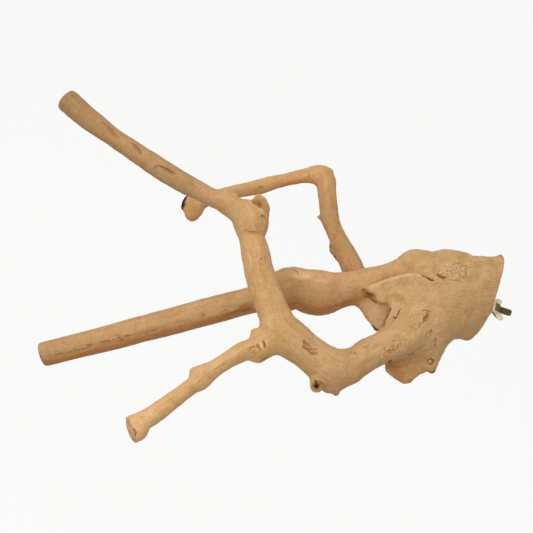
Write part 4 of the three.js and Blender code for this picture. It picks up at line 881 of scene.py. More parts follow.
    # undersides painted darker and more orange: painted shade
    low_side = np.clip(-normals[:, 1] * 1.5 - 0.25, 0, 1)
    share = weight[:, 1] * np.where(near == 0, 0.85, np.where(near == 2, 0.6, 0.25)) + 0.1 * weight[:, 2] + 0.35 * weight[:, 0]
    paint["orange"] = np.maximum(paint["orange"], low_side * share)
    paint["orange"] = np.maximum(paint["orange"], 0.30 * weight[:, 1] * (near == 2))
    paint["orange"] = np.maximum(paint["orange"], 0.5 * np.exp(-(((px - 190) / 9) ** 2 + ((py - 208) / 11) ** 2)))
    paint["dusk"] += 0.10 * np.exp(-(((px - 190) / 9) ** 2 + ((py - 208) / 11) ** 2))
    paint["olive"] = np.maximum(paint["olive"], 0.5 * np.exp(-(((px - 192) / 9) ** 2 + ((py - 208) / 11) ** 2)))
    # the front limb's undersides streaked red: painted shade
    paint["red"] = np.maximum(paint["red"], (near == 0) * weight[:, 1] * np.clip(low_side * 1.2, 0, 1) * np.clip(noise(coords[:, 1] / (26, 4, 4) + 3, 46) * 3.0 + 0.45, 0, 1) * 1.0)
    # a brown band along the front limb where its surface turns from the light: painted shade, broken into streaks
    paint["brown"] = np.maximum(paint["brown"], (near == 0) * weight[:, 1] * np.clip(1 - np.abs(normals[:, 1] + 0.15) * 3.2, 0, 1) * np.clip(noise(coords[:, 1] / (11, 3.0, 3.0) + 8, 47) * 3.4 - 0.35, 0, 1) * 0.85 * np.clip((arc_a - 250) / 30, 0, 1))
    moved = verts + normals * push[:, None]
    # nothing leaves the sawn plane
    over = (moved - ORIGIN) @ AXES[1]
    moved -= np.clip(over, 0, None)[:, None] * AXES[1]
    return moved, tris, coords, weight, paint, radius


def frames_along(pts):
    """Arc length, tangent and two carried normals along a path."""
    s = np.concatenate([[0], np.cumsum(np.linalg.norm(np.diff(pts, axis=0), axis=1))])
    t = np.gradient(pts, axis=0)
    t /= np.linalg.norm(t, axis=1, keepdims=True)
    e = np.cross(t[0], (0.3, 0.9, 0.2))
    e /= np.linalg.norm(e)
    first = [e]
    for k in range(1, len(pts)):
        e = first[-1] - t[k] * (first[-1] @ t[k])
        first.append(e / np.linalg.norm(e))
    first = np.array(first)
    return s, t, first, np.cross(t, first)


def on_paths(verts, paths):
    """For each limb: distance from its skin, place along it, and place across it."""
    out = {}
    for name, (pts, rad) in paths.items():
        s, t, e1, e2 = frames_along(pts)
        n = len(verts)
        best = np.full(n, 1e9)
        index = np.zeros(n, int)
        for start in range(0, n, 40000):
            v = verts[start : start + 40000]
            d2 = (v * v).sum(1)[:, None] - 2 * v @ pts.T + (pts * pts).sum(1)
            k = d2.argmin(1)
            best[start : start + 40000] = np.sqrt(np.maximum(d2[np.arange(len(v)), k], 0))
            index[start : start + 40000] = k
        q = verts - pts[index]
        along = (q * t[index]).sum(1)
        # where the path bends, the frame turns with the point between stations
        other = np.clip(index + np.where(along > 0, 1, -1), 0, len(pts) - 1)
        gap = np.maximum(np.linalg.norm(pts[other] - pts[index], axis=1), 1e-6)
        f = np.clip(np.abs(along) / gap, 0, 0.5)[:, None]
        u1 = e1[index] * (1 - f) + e1[other] * f
        u2 = e2[index] * (1 - f) + e2[other] * f
        c = pts[index] * (1 - f) + pts[other] * f
        q2 = verts - c
        out[name] = (best - rad[index], np.stack([s[index] + along, (q2 * u1).sum(1), (q2 * u2).sum(1)], 1), t[index], rad[index])
    return out


def grain_direction(verts, paths):
    found = on_paths(verts, paths)
    names = list(found)
    d = np.stack([found[k][0] for k in names], 1)
    pick = d.argmin(1)
    t = np.stack([found[k][2] for k in names], 1)[np.arange(len(verts)), pick]
    return t


def grain_of(verts, paths):
    """Grain coordinates in three slots (crown, main limbs, side limb) with their weights."""
    found = on_paths(verts, paths)
    n = len(verts)
    part = to_part(verts)
    coords = np.zeros((n, 3, 3))
    warp = np.stack([noise(part / 38 + 3 * k, 30 + k) for k in range(3)], 1)
    coords[:, 0] = np.stack([-part[:, 1] + 6 * warp[:, 0], part[:, 0] + 0.35 * part[:, 1] + 9 * warp[:, 1], part[:, 2] - 0.25 * part[:, 1] + 9 * warp[:, 2]], 1)
    names = ["A", "P", "E"]
    d = np.stack([found[k][0] for k in names], 1)
    # the limbs end inside the crown: there they lose to it
    for i, k in enumerate(names):
        into = {"A": 60.0, "P": 62.0, "E": 30.0}[k]
        d[:, i] += np.clip((into - found[k][1][:, 0]) / into, 0, 1) * 30
    pick = d.argmin(1)
    row = np.arange(n)
    coords[:, 1] = np.stack([found[k][1] for k in names], 1)[row, pick] + np.array([0.0, 130.0, 260.0])[pick][:, None]
    coords[:, 2] = found["SIDE"][1] + 400.0
    px, py = pixels(verts[:, 0], verts[:, 1], verts[:, 2])
    crown = np.clip((px - 378) / 30, 0, 1) * 14
    dist = np.stack([6.0 - crown, np.maximum(d.min(1), 0), np.maximum(found["SIDE"][0], 0)], 1)
    weight = np.exp(-dist / 3.0)
    weight /= weight.sum(1, keepdims=True)
    radius = np.stack([found[k][3] for k in names], 1)[row, pick]
    return coords, weight, pick, radius


# ---- the scene ----
WORLD_LOW, WORLD_HIGH, KEY, FRONT = 0.32, 0.54, 7.5, 13.5
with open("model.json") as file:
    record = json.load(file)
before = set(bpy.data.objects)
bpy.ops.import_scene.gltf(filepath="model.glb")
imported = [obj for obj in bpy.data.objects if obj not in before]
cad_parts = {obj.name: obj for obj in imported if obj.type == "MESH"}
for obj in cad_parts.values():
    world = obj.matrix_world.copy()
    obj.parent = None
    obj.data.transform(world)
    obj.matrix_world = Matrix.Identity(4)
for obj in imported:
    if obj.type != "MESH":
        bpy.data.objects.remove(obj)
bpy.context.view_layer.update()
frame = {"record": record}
BODY = {node: body for body, nodes in frame["record"]["behaviour"]["bodies"].items() for node in nodes}

camera_data = bpy.data.cameras.new("view")
camera_data.lens, camera_data.sensor_width = 100.0, 36.0
camera_data.clip_start, camera_data.clip_end = 0.05, 30
camera = bpy.data.objects.new("view", camera_data)
bpy.context.scene.collection.objects.link(camera)
eye = AXES @ (np.array([0.0, 0.0, DISTANCE]) - ORIGIN) / 1000
camera.matrix_world = Matrix([[*AXES[i], eye[i]] for i in range(3)] + [[0, 0, 0, 1]])
bpy.context.scene.camera = camera


# ---- material helpers ----
class Tree:
    """A material's nodes, made and joined in short calls."""

    def __init__(self, name):
        self.material = bpy.data.materials.new(name)
        self.material.use_nodes = True
        self.nodes = self.material.node_tree.nodes
        self.links = self.material.node_tree.links
        self.shader = self.nodes["Principled BSDF"]

    def put(self, socket, value):
        if isinstance(value, bpy.types.NodeSocket):
            self.links.new(value, socket)
        elif isinstance(value, (tuple, list)) and len(value) == 3 and len(socket.default_value) == 4:
            socket.default_value = (*value, 1.0)
        else:
            socket.default_value = value

    def node(self, kind, out=0, **settings):
        made = self.nodes.new(kind)
        inputs = settings.pop("inputs", {})
        for key, value in settings.items():
            setattr(made, key, value)
        for key, value in inputs.items():
            self.put(made.inputs[key], value)
        return made.outputs[out]

    def attribute(self, name, out="Fac"):
        return self.node("ShaderNodeAttribute", out, attribute_name=name)

    def math(self, operation, a, b=0.0, c=0.0, clamp=False):
        return self.node("ShaderNodeMath", operation=operation, use_clamp=clamp, inputs={0: a, 1: b, 2: c})

    def scaled(self, vector, scale, shift=(0, 0, 0)):
        return self.node("ShaderNodeMapping", inputs={"Vector": vector, "Scale": scale, "Location": shift})

    def noise(self, vector, scale=1.0, detail=2.0, rough=0.5, distortion=0.0):
        return self.node("ShaderNodeTexNoise", "Fac", inputs={"Vector": vector, "Scale": scale, "Detail": detail, "Roughness": rough, "Distortion": distortion})

    def cells(self, vector, scale=1.0, feature="F1", out="Distance", randomness=1.0):
        made = self.nodes.new("ShaderNodeTexVoronoi")
        made.feature = feature
        self.put(made.inputs["Vector"], vector)
        self.put(made.inputs["Scale"], scale)
        self.put(made.inputs["Randomness"], randomness)
        return made.outputs[out]

    def ramp(self, value, low, high, out_low=0.0, out_high=1.0):
        return self.node("ShaderNodeMapRange", interpolation_type="SMOOTHSTEP", clamp=True,
                         inputs={"Value": value, "From Min": low, "From Max": high, "To Min": out_low, "To Max": out_high})

    def mix(self, factor, a, b, blend="MIX"):
        made = self.nodes.new("ShaderNodeMix")
        made.data_type, made.blend_type = "RGBA", blend
        self.put(made.inputs[0], factor)
        self.put(made.inputs[6], a)
        self.put(made.inputs[7], b)
        return made.outputs[2]

    def bump(self, height, distance, strength=1.0, normal=None):
        inputs = {"Height": height, "Distance": distance, "Strength": strength}
        if normal is not None:
            inputs["Normal"] = normal
        return self.node("ShaderNodeBump", "Normal", inputs=inputs)


def colour(r, g, b):
    """A colour given as display values from 0 to 255."""
    return tuple(c / 255 / 12.92 if c / 255 <= 0.04045 else ((c / 255 + 0.055) / 1.055) ** 2.4 for c in (r, g, b))


def wood_material():
    t = Tree("debarked_root_wood")
    dark, brown, olive, red, pale, cut, rough = (t.attribute(k) for k in ("dark", "brown", "olive", "red", "pale", "cut", "rough"))
    orange, dusk = t.attribute("orange"), t.attribute("dusk")
    share2, share3 = t.attribute("share2"), t.attribute("share3")
    place = t.attribute("place", "Vector")  # millimetres in the part's frame

    def along(name):
        g = t.attribute(name, "Vector")
        streak = t.noise(t.scaled(g, (0.016, 0.20, 0.20)), 1.0, 3.0, 0.55)
        strand = t.noise(t.scaled(g, (0.03, 0.75, 0.75), (5, 3, 1)), 1.0, 3.0, 0.6, 0.6)
        fibre = t.noise(t.scaled(g, (0.10, 2.6, 2.6), (1, 8, 4)), 1.0, 2.0, 0.6)
        return streak, strand, fibre

    slots = [along("grain1"), along("grain2"), along("grain3")]

    def mixed(k):
        a = t.node("ShaderNodeMix", data_type="FLOAT", inputs={0: share2, 2: slots[0][k], 3: slots[1][k]})
        return t.node("ShaderNodeMix", data_type="FLOAT", inputs={0: share3, 2: a, 3: slots[2][k]})

    streak, strand, fibre = mixed(0), mixed(1), mixed(2)
    warm = t.attribute("warm")
    patch = t.noise(place, 0.014, 2.0, 0.5)
    patch2 = t.noise(t.scaled(place, (1, 1, 1), (40, 11, 90)), 0.022, 2.0, 0.5)
    blot = t.noise(t.scaled(place, (1, 1, 1), (3, 71, 9)), 0.075, 3.0, 0.6)
    pink = t.noise(t.scaled(place, (1, 1, 1), (61, 7, 33)), 0.13, 3.0, 0.65, 0.4)
    mottle = t.noise(t.scaled(place, (1, 1, 1), (21, 17, 5)), 0.34, 3.0, 0.65, 0.5)
    speck = t.noise(t.scaled(place, (1, 1, 1), (13, 5, 29)), 0.55, 2.0, 0.6)
    crown = t.math("MULTIPLY", t.math("SUBTRACT", 1.0, share2), t.math("SUBTRACT", 1.0, share3))

    base = t.mix(t.ramp(patch, 0.36, 0.64), colour(223, 179, 127), colour(214, 170, 112))
    base = t.mix(t.ramp(patch2, 0.45, 0.72, 0, 0.75), base, colour(220, 171, 122))
    base = t.mix(t.math("MULTIPLY", crown, 0.45), base, colour(209, 174, 119))
    base = t.mix(t.math("MULTIPLY", warm, 0.55), base, colour(207, 155, 97))
    base = t.mix(t.ramp(blot, 0.46, 0.72, 0, 0.6), base, colour(192, 146, 86))
    base = t.mix(t.ramp(blot, 0.28, 0.44, 0.4, 0), base, colour(231, 194, 143))
    base = t.mix(t.ramp(pink, 0.52, 0.68, 0, 0.45), base, colour(216, 160, 112))
    base = t.mix(t.ramp(pink, 0.30, 0.45, 0.5, 0), base, colour(203, 168, 98))
    base = t.mix(t.ramp(mottle, 0.54, 0.70, 0, 0.42), base, colour(189, 140, 87))
    base = t.mix(t.ramp(mottle, 0.28, 0.44, 0.38, 0), base, colour(236, 203, 155))
    base = t.mix(t.ramp(streak, 0.50, 0.70, 0, 0.45), base, colour(197, 143, 87))
    base = t.mix(t.ramp(streak, 0.30, 0.48, 0.38, 0), base, colour(231, 195, 147))
    base = t.mix(t.ramp(strand, 0.52, 0.72, 0, 0.42), base, colour(178, 126, 74))
    base = t.mix(t.ramp(strand, 0.28, 0.46, 0.36, 0), base, colour(233, 199, 152))
    base = t.mix(t.ramp(fibre, 0.5, 0.75, 0, 0.22), base, colour(174, 124, 76))
    base = t.mix(t.ramp(speck, 0.60, 0.72, 0, 0.40), base, colour(172, 120, 70))
    grit = t.noise(t.scaled(place, (1, 1, 1), (7, 23, 41)), 0.62, 3.0, 0.75, 0.6)
    base = t.mix(t.ramp(grit, 0.54, 0.70, 0, 0.34), base, colour(156, 106, 58))
    base = t.mix(t.ramp(grit, 0.30, 0.46, 0.30, 0), base, colour(248, 219, 172))
    # sawn faces: rings across the grain
    around = t.node("ShaderNodeVectorMath", 1, operation="LENGTH", inputs={0: t.scaled(place, (1, 0, 0.72), (13.0, 0, -6.5))})
    sway = t.noise(t.scaled(place, (0.028, 0.0, 0.028)), 1.0, 3.0, 0.5)
    ring_at = t.math("ADD", t.math("MULTIPLY", around, 0.34), t.math("MULTIPLY", sway, 9.0))
    ring_wave = t.math("ABSOLUTE", t.math("SUBTRACT", t.math("FRACT", ring_at), 0.5))
    ring_line = t.ramp(ring_wave, 0.18, 0.5)
    ring_show = t.ramp(t.noise(t.scaled(place, (0.05, 0.0, 0.05), (9, 0, 3)), 1.0, 2.0, 0.5), 0.35, 0.65, 0.12, 0.5)
    face = t.mix(t.ramp(sway, 0.35, 0.65), colour(226, 186, 136), colour(214, 168, 114))
    face = t.mix(t.math("MULTIPLY", ring_line, ring_show), face, colour(178, 128, 78))
    pores = t.noise(t.scaled(place, (1.0, 0.0, 1.0)), 1.1, 2.0, 0.7)
    face = t.mix(t.ramp(pores, 0.56, 0.72, 0, 0.5), face, colour(160, 110, 66))
    kerf = t.noise(t.scaled(place, (0.03, 0.0, 0.85), (0, 0, 7)), 1.0, 2.0, 0.6)
    face = t.mix(t.ramp(kerf, 0.5, 0.66, 0, 0.30), face, colour(188, 142, 92))
    face = t.mix(t.ramp(kerf, 0.34, 0.5, 0.18, 0), face, colour(240, 208, 160))
    face = t.mix(t.ramp(around, 2.0, 7.0, 0.55, 0), face, colour(150, 98, 54))
    base = t.mix(cut, base, face)

    def edge(value, low=0.12, high=0.75):
        wander = t.math("ADD", value, t.math("MULTIPLY", t.math("SUBTRACT", t.math("ADD", strand, speck), 1.0), 0.55))
        return t.ramp(t.math("MULTIPLY", wander, t.ramp(value, 0.0, 0.12)), low, high)

    # the painted values below carry the wood's stains and also painted shade in hollows and on undersides, and pale
    # painted highlights on ridges and lips
    base = t.mix(t.math("MULTIPLY", edge(pale), 0.65), base, colour(240, 205, 158))
    base = t.mix(t.math("MULTIPLY", edge(orange), 0.75), base, colour(200, 137, 72))
    base = t.mix(t.math("MULTIPLY", edge(red), 0.75), base, colour(194, 129, 74))
    base = t.mix(t.math("MULTIPLY", edge(olive), 0.80), base, colour(182, 146, 76))
    base = t.mix(t.math("MULTIPLY", edge(brown), 0.88), base, colour(152, 101, 54))
    base = t.mix(t.ramp(dark, 0.2, 0.85), base, colour(46, 25, 12))
    # the base colour scaled darker or lighter: the wood's tone by limb, with painted shade and painted light
    tone = t.math("SUBTRACT", 1.0, t.math("MULTIPLY", dusk, 0.42))
    base = t.node("ShaderNodeVectorMath", operation="SCALE", inputs={0: base, "Scale": tone})
    t.put(t.shader.inputs["Base Color"], base)
    t.put(t.shader.inputs["Roughness"], t.ramp(t.math("ADD", t.math("MULTIPLY", fibre, 0.5), t.math("MULTIPLY", blot, 0.5)), 0.3, 0.7, 0.52, 0.74))
    t.shader.inputs["Specular IOR Level"].default_value = 0.32
    t.shader.inputs["Sheen Weight"].default_value = 0.0
    height = t.math("ADD", t.math("MULTIPLY", strand, 0.55), t.math("MULTIPLY", fibre, 0.28))
    height = t.math("ADD", height, t.math("MULTIPLY", t.ramp(speck, 0.58, 0.74), -0.22))
    height = t.math("SUBTRACT", height, t.math("MULTIPLY", grit, 0.45))
    saw = t.math("ADD", t.math("MULTIPLY", kerf, 1.1), t.math("MULTIPLY", pores, -0.6))
    height = t.math("ADD", height, t.math("MULTIPLY", t.math("MULTIPLY", saw, cut), 0.6))
    height = t.math("ADD", height, t.math("MULTIPLY", t.math("MULTIPLY", t.cells(place, 0.7), rough), 0.5))
    t.put(t.shader.inputs["Normal"], t.bump(height, 0.0005))
    return t.material


def zinc_material(name, tint, tint2, grime_and_shade, roughness=0.34, scale=1.0):
    t = Tree(name)
    place = t.attribute("place", "Vector")
    worn = t.attribute("worn")
    cloud = t.noise(place, 0.13 * scale, 3.0, 0.6)
    fine = t.noise(place, 1.7 * scale, 2.0, 0.6)
    base = t.mix(t.ramp(cloud, 0.35, 0.68), tint, tint2)
    base = t.mix(t.ramp(fine, 0.55, 0.75, 0, 0.35), base, tuple(c * 0.62 for c in tint2))
    # darkened towards the dark colour by the attribute: by the hole and rim on the washers, on the hub and as painted
    # shade on the wing nut's faces turned to the washer
    base = t.mix(t.ramp(t.math("ADD", worn, t.math("MULTIPLY", t.math("SUBTRACT", cloud, 0.5), 0.5)), 0.15, 0.85, 0, 0.92), base, grime_and_shade)
    t.put(t.shader.inputs["Base Color"], base)
    t.shader.inputs["Metallic"].default_value = 1.0
    t.put(t.shader.inputs["Roughness"], t.ramp(t.math("ADD", t.math("MULTIPLY", cloud, 0.6), t.math("MULTIPLY", fine, 0.4)), 0.3, 0.7, roughness - 0.08, roughness + 0.16))
    t.put(t.shader.inputs["Normal"], t.bump(t.math("ADD", t.math("MULTIPLY", fine, 0.5), t.math("MULTIPLY", t.noise(place, 6.0, 1.0), 0.3)), 0.00006))
    return t.material


def bolt_material():
    t = Tree("oiled_steel_thread")
    place = t.attribute("place", "Vector")
    root = t.attribute("root")
    cloud = t.noise(t.scaled(place, (1, 0.6, 1)), 0.22, 3.0, 0.6)
    fine = t.noise(place, 2.2, 2.0, 0.6)
    base = t.mix(t.ramp(cloud, 0.35, 0.66), colour(150, 122, 78), colour(116, 90, 56))
    base = t.mix(t.ramp(fine, 0.52, 0.75, 0, 0.5), base, colour(88, 64, 38))
    # thread roots painted darker: painted shade
    base = t.mix(t.ramp(root, 0.25, 1.0, 0.0, 0.85), base, colour(52, 38, 24))
    t.put(t.shader.inputs["Base Color"], base)
    t.shader.inputs["Metallic"].default_value = 1.0
    t.put(t.shader.inputs["Roughness"], t.ramp(cloud, 0.3, 0.7, 0.34, 0.52))
    t.put(t.shader.inputs["Normal"], t.bump(fine, 0.00005))
    return t.material


# ---- mesh helpers ----
def mesh_object(name, verts, faces, material, body, nodes, slot, smooth=True, **values):
    mesh = bpy.data.meshes.new(name)
    verts = np.ascontiguousarray(verts, np.float32)
    mesh.vertices.add(len(verts))
    mesh.vertices.foreach_set("co", verts.ravel())
    if isinstance(faces, np.ndarray):
        sides = faces.shape[1]
        mesh.loops.add(faces.size)
        mesh.loops.foreach_set("vertex_index", np.ascontiguousarray(faces, np.int32).ravel())
        mesh.polygons.add(len(faces))
        mesh.polygons.foreach_set("loop_start", np.arange(0, faces.size, sides, dtype=np.int32))
    else:
        mesh.loops.add(sum(map(len, faces)))
        mesh.loops.foreach_set("vertex_index", [i for f in faces for i in f])
        mesh.polygons.add(len(faces))
        starts = np.concatenate([[0], np.cumsum([len(f) for f in faces])[:-1]])
        mesh.polygons.foreach_set("loop_start", starts.astype(np.int32))
    mesh.update(calc_edges=True)
    mesh.validate()
    mesh.polygons.foreach_set("use_smooth", np.full(len(mesh.polygons), smooth))
    for key, value in values.items():
        value = np.asarray(value, np.float32)
        kind = "FLOAT" if value.ndim == 1 else "FLOAT_VECTOR"
        layer = mesh.attributes.new(key, kind, "POINT")
        layer.data.foreach_set("value" if value.ndim == 1 else "vector", np.ascontiguousarray(value).ravel())
    mesh.materials.append(material)
    made = bpy.data.objects.new(name, mesh)
    bpy.context.scene.collection.objects.link(made)
    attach(made, body)
    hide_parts(*nodes)
    return made


def lathe(profile, sides, wave=None):
    """Rings about the Y axis from (radius, y) points in mm; a radius of 0 closes an end."""
    verts, rings = [], []
    for r, y in profile:
        if r <= 0:
            rings.append([len(verts)])
            verts.append((0, y, 0))
            continue
        ring = []
        for k in range(sides):
            a = 2 * math.pi * k / sides
            rr, yy = (r, y) if wave is None else wave(r, y, a)
            ring.append(len(verts))
            verts.append((rr * math.sin(a), yy, rr * math.cos(a)))
        rings.append(ring)
    faces = []
    for lo, hi in zip(rings[:-1], rings[1:]):
        for k in range(sides):
            n = (k + 1) % sides
            if len(lo) == 1:
                faces.append((lo[0], hi[k], hi[n]))
            elif len(hi) == 1:
                faces.append((lo[k], hi[0], lo[n]))
            else:
                faces.append((lo[k], hi[k], hi[n], lo[n]))
    return np.array(verts, float), [tuple(reversed(f)) for f in faces]


# ---- the wood, one continuous surface ----
verts, tris, coords, weight, paint, limb_radius = build_wood()
part_mm = to_part(verts)
share3 = weight[:, 2]
share2 = weight[:, 1] / np.maximum(weight[:, 0] + weight[:, 1], 1e-9)
WOOD = [n for n, b in BODY.items() if b == "perch" and n != "hanger_bolt"]
wood = mesh_object(
    "branch_wood", part_mm / 1000, tris, wood_material(), "perch", WOOD, "wood",
    place=part_mm, grain1=coords[:, 0], grain2=coords[:, 1], grain3=coords[:, 2], share2=share2, share3=share3, **paint,
)

# ---- hanger bolt: machine thread outside, wood thread inside ----
PITCH = 1.25
WOOD_PITCH = 3.0


def thread(frac, low, high, sharp):
    t = abs(2 * (frac % 1.0) - 1)
    return low + (high - low) * min(max(sharp * t - 0.12, 0), 1)


profile = [(0, -42.0), (0.5, -41.9)]
profile += [(1.0, y) for y in np.arange(-41.5, -1.6, WOOD_PITCH / 9)]
profile += [(2.0, -1.5), (2.0, 1.6)]
profile += [(3.0, y) for y in np.arange(1.8, 29.9, PITCH / 8)]
profile += [(3.01, 29.95), (2.6, 30.0), (1.2, 30.0), (0, 30.0)]


def bolt_wave(kind, y, a):
    turn = a / (2 * math.pi)
    if kind == 1.0:  # lag thread, tapering to its point
        outer = min(3.9, 0.7 + (y + 42) * 0.42)
        inner = min(2.75, 0.5 + (y + 42) * 0.34)
        fade = min(1, max(0, (-1.6 - y) / 3))
        r = thread(y / WOOD_PITCH - turn, inner, outer, 1.25)
        return r * fade + 3.55 * (1 - fade), y
    if kind == 2.0:
        return 3.6, y
    if kind == 3.0:
        crest = 3.98 - max(0, y - 28.9) * 0.62
        start = min(1, max(0, (y - 1.8) / 2.4))
        r = thread(y / PITCH - turn, 3.30, crest, 1.35)
        return (r * start + 3.6 * (1 - start) if start < 1 else r), y
    if kind == 3.01:
        return 3.22, y
    return kind, y


bolt_verts, bolt_faces = lathe(profile, 48, bolt_wave)
reach = np.hypot(bolt_verts[:, 0], bolt_verts[:, 2])
# darker in the thread roots: painted shade
root = np.where(bolt_verts[:, 1] > 1.8, np.clip((3.9 - reach) / 0.55, 0, 1), np.clip((3.8 - reach) / 1.0, 0, 1))
root[bolt_verts[:, 1] > 29.93] = 0.1
bolt = mesh_object("threaded_rod", bolt_verts / 1000, bolt_faces, bolt_material(), "perch", ["hanger_bolt"], "bolt", place=bolt_verts, root=root)

# ---- washers ----
ZINC_LIGHT, ZINC_DARK = colour(214, 202, 180), colour(186, 172, 146)
washer_zinc = zinc_material("zinc_plate", ZINC_LIGHT, ZINC_DARK, colour(150, 130, 98), 0.36)
for node, name, low in (("inner_washer", "washer_inner", 0.3), ("outer_washer", "washer_outer", 3.1)):
    a, b = low, low + 1.6
    shape = [(4.45, a + 0.35), (4.62, a + 0.1), (4.9, a), (11.3, a), (11.72, a + 0.08), (11.93, a + 0.3), (12.0, a + 0.62), (12.0, b - 0.3),
             (11.9, b - 0.12), (11.6, b), (5.2, b), (4.9, b - 0.06), (4.6, b - 0.26), (4.45, b - 0.6)]
    v, f = lathe(shape + [shape[0]], 96)
    keep = len(v) - 96
    f = [tuple(i - keep if i >= keep else i for i in q) for q in f]
    v = v[:keep]
    r = np.hypot(v[:, 0], v[:, 2])
    # darker by the hole and a little at the rim
    worn = np.clip(np.where(r < 6, (6 - r) / 2, 0) + np.where(r > 11.8, 0.35, 0), 0, 1)
    mesh_object(name, v / 1000, f, washer_zinc, BODY[node], [node], "washer", place=v + (0, 0, 100 * (low > 1)), worn=worn)


# ---- wing nut: cast hub and wings, threaded inside ----
def quad(a, b, c, n=7):
    return [tuple((1 - t) ** 2 * a[i] + 2 * t * (1 - t) * b[i] + t * t * c[i] for i in (0, 1)) for t in np.linspace(0, 1, n)[1:]]


WING = [(4.4, 0.9), (6.6, 0.9)] + quad((6.6, 0.9), (10.8, 1.9), (14.6, 5.6)) + quad((14.6, 5.6), (18.4, 9.4), (17.3, 12.2)) + \
    quad((17.3, 12.2), (15.4, 15.9), (12.2, 14.4)) + quad((12.2, 14.4), (8.8, 12.6), (6.2, 9.2)) + [(4.4, 9.2)]
nut = Field(np.array([-19.5, -1.5, -9.5]), np.array([19.5, 17.5, 9.5]), 0.34)
nx, ny, nz = (nut.axis[0][:, None, None], nut.axis[1][None, :, None], nut.axis[2][None, None, :])
nr = np.sqrt(nx**2 + nz**2)
hub_r = np.where(ny < 2.0, 7.6, np.where(ny < 3.2, 7.6 - (ny - 2.0) * 0.6, 6.88 - (ny - 3.2) * 0.11))
d = np.maximum(nr - hub_r + 0.6, np.abs(ny - 4.75) - 4.75 + 0.6)
hub = np.minimum(d, 0) + np.sqrt(np.maximum(nr - hub_r + 0.6, 0) ** 2 + np.maximum(np.abs(ny - 4.75) - 4.75 + 0.6, 0) ** 2) - 0.6
nut.f[:] = np.broadcast_to(hub, nut.f.shape)
flat_wing = polygon_distance(np.abs(nut.axis[0])[:, None].astype(float), nut.axis[1][None, :].astype(float), WING)[:, :, None] + 0.95
half = 1.7 - 0.30 * np.clip((np.abs(nx) - 7) / 9, 0, 1)
q = np.abs(nz) - half + 0.95
wings = np.minimum(np.maximum(flat_wing, q), 0) + np.sqrt(np.maximum(flat_wing, 0) ** 2 + np.maximum(q, 0) ** 2) - 0.95
blend_in(nut.f, wings.astype(np.float32), 1.6)
angle = np.arctan2(nx + 0 * nz, nz + 0 * nx)
AZ = math.radians(18.0)  # the wings stand this far round from +X, towards -Z
frac = ((ny + 5.0) / PITCH - (angle + math.pi / 2 + AZ - math.pi / 2) / (2 * math.pi)) % 1.0
bore = 4.12 + 0.36 * np.clip(1.5 * (1 - np.abs(2 * frac - 1)) - 0.2, 0, 1)
bore = bore + np.clip(0.9 - ny, 0, 0.9) * 0.8 + np.clip(ny - 8.7, 0, 0.9) * 0.8
carve(nut.f, np.broadcast_to(nr - bore, nut.f.shape).astype(np.float32), 0.12)
carve(nut.f, np.broadcast_to(ny + 0 * nr, nut.f.shape).astype(np.float32), 0.12)
nv, nq = surface_nets(nut)
nv = settle(nut, nv)
nt = triangles(nq, nv)
nut_axis = np.stack([[math.cos(AZ), 0, -math.sin(AZ)], [0, 1, 0], [math.sin(AZ), 0, math.cos(AZ)]])
nut_part = nv @ nut_axis + [0, 5.0, 0]
nn = normals_of(nv, nt)
nut_r = np.hypot(nv[:, 0], nv[:, 2])
# the hub painted dark brown, and the faces turned towards the washer painted darker: painted shade
worn = np.clip((7.9 - nut_r) / 1.2, 0, 1) * 0.95 + 0.75 * np.clip(-nn[:, 1] * 1.6 - 0.5, 0, 1)
worn = np.clip(worn, 0, 1)
nut_zinc = zinc_material("zinc_casting", colour(222, 206, 178), colour(188, 174, 148), colour(98, 72, 44), 0.38, 0.8)
mesh_object("wing_nut_body", nut_part / 1000, nt, nut_zinc, BODY["wing_nut"], ["wing_nut"], "nut", place=nv, worn=worn)

# ---- floor, backdrop and light ----
def bright(name, diffuse, glow):
    t = Tree(name)
    t.shader.inputs["Base Color"].default_value = (diffuse, diffuse, diffuse * 0.995, 1)
    t.shader.inputs["Roughness"].default_value = 1.0
    t.shader.inputs["Specular IOR Level"].default_value = 0.0
    t.shader.inputs["Emission Color"].default_value = (1.0, 1.0, 0.995, 1)
    t.shader.inputs["Emission Strength"].default_value = glow
    t.material.cycles.emission_sampling = "NONE"
    return t.material


def stage_piece(name, verts, faces, material, place):
    mesh = bpy.data.meshes.new(name)
    mesh.from_pydata(verts, [], faces)
    mesh.materials.append(material)
    made = bpy.data.objects.new(name, mesh)
    made.location = place
    bpy.context.scene.collection.objects.link(made)
    made.visible_diffuse = False
    return made


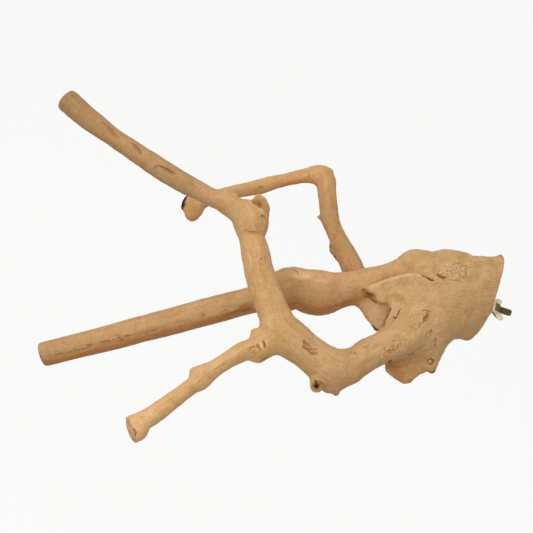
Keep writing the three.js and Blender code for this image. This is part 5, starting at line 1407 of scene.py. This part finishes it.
stage_piece("studio_floor", [(24 * math.cos(k * math.pi / 32), 24 * math.sin(k * math.pi / 32), 0) for k in range(64)], [tuple(range(64))],
            bright("pale_floor", 0.12, 0.875), (0, -0.25, -0.62))
ring = [[(23.5 * math.cos(e) * math.cos(k * math.pi / 32), 23.5 * math.cos(e) * math.sin(k * math.pi / 32), 23.5 * math.sin(e)) for k in range(64)]
        for e in (math.radians(x) for x in (-3, 5, 15, 30, 50, 70, 88))]
stage_piece("studio_backdrop", [p for r in ring for p in r],
            [(i * 64 + k, i * 64 + (k + 1) % 64, (i + 1) * 64 + (k + 1) % 64, (i + 1) * 64 + k) for i in range(6) for k in range(64)],
            bright("pale_backdrop", 0.0, 0.965), (0, -0.25, -0.62)).visible_shadow = False

world = bpy.data.worlds.new("studio")
bpy.context.scene.world = world
world.use_nodes = True
wn, wl = world.node_tree.nodes, world.node_tree.links
where = wn.new("ShaderNodeTexCoord")
split = wn.new("ShaderNodeSeparateXYZ")
wl.new(where.outputs["Generated"], split.inputs[0])
rise = wn.new("ShaderNodeMapRange")
rise.interpolation_type = "SMOOTHSTEP"
for key, value in (("From Min", -0.5), ("From Max", 0.7), ("To Min", WORLD_LOW), ("To Max", WORLD_HIGH)):
    rise.inputs[key].default_value = value
wl.new(split.outputs["Z"], rise.inputs["Value"])
tint = wn.new("ShaderNodeMix")
tint.data_type = "RGBA"
tint.inputs[6].default_value = (1.0, 0.90, 0.76, 1)
tint.inputs[7].default_value = (1.0, 0.99, 0.97, 1)
warmth = wn.new("ShaderNodeMapRange")
for key, value in (("From Min", -0.6), ("From Max", 0.5)):
    warmth.inputs[key].default_value = value
wl.new(split.outputs["Z"], warmth.inputs["Value"])
wl.new(warmth.outputs["Result"], tint.inputs[0])
wl.new(tint.outputs[2], wn["Background"].inputs["Color"])
wl.new(rise.outputs["Result"], wn["Background"].inputs["Strength"])


def panel(name, place, aim, size, power, tint=(1, 1, 1)):
    light = bpy.data.lights.new(name, "AREA")
    light.shape, light.size, light.size_y = "RECTANGLE", size[0], size[1]
    light.energy, light.color = power, tint
    made = bpy.data.objects.new(name, light)
    made.location = place
    made.rotation_mode = "QUATERNION"
    made.rotation_quaternion = (Vector(aim) - Vector(place)).to_track_quat("-Z", "Y")
    bpy.context.scene.collection.objects.link(made)
    return made


def view_point(u, v, w):
    """A point given in the camera's own millimetres."""
    return tuple(AXES @ (np.array([u, v, w], float) - ORIGIN) / 1000)


middle = view_point(0, 0, 0)
panel("key", view_point(-500, 1500, 900), middle, (1.3, 1.0), KEY)
panel("front", view_point(-600, 150, 1950), middle, (1.4, 1.2), FRONT)
bpy.context.scene.view_settings.view_transform = "Standard"
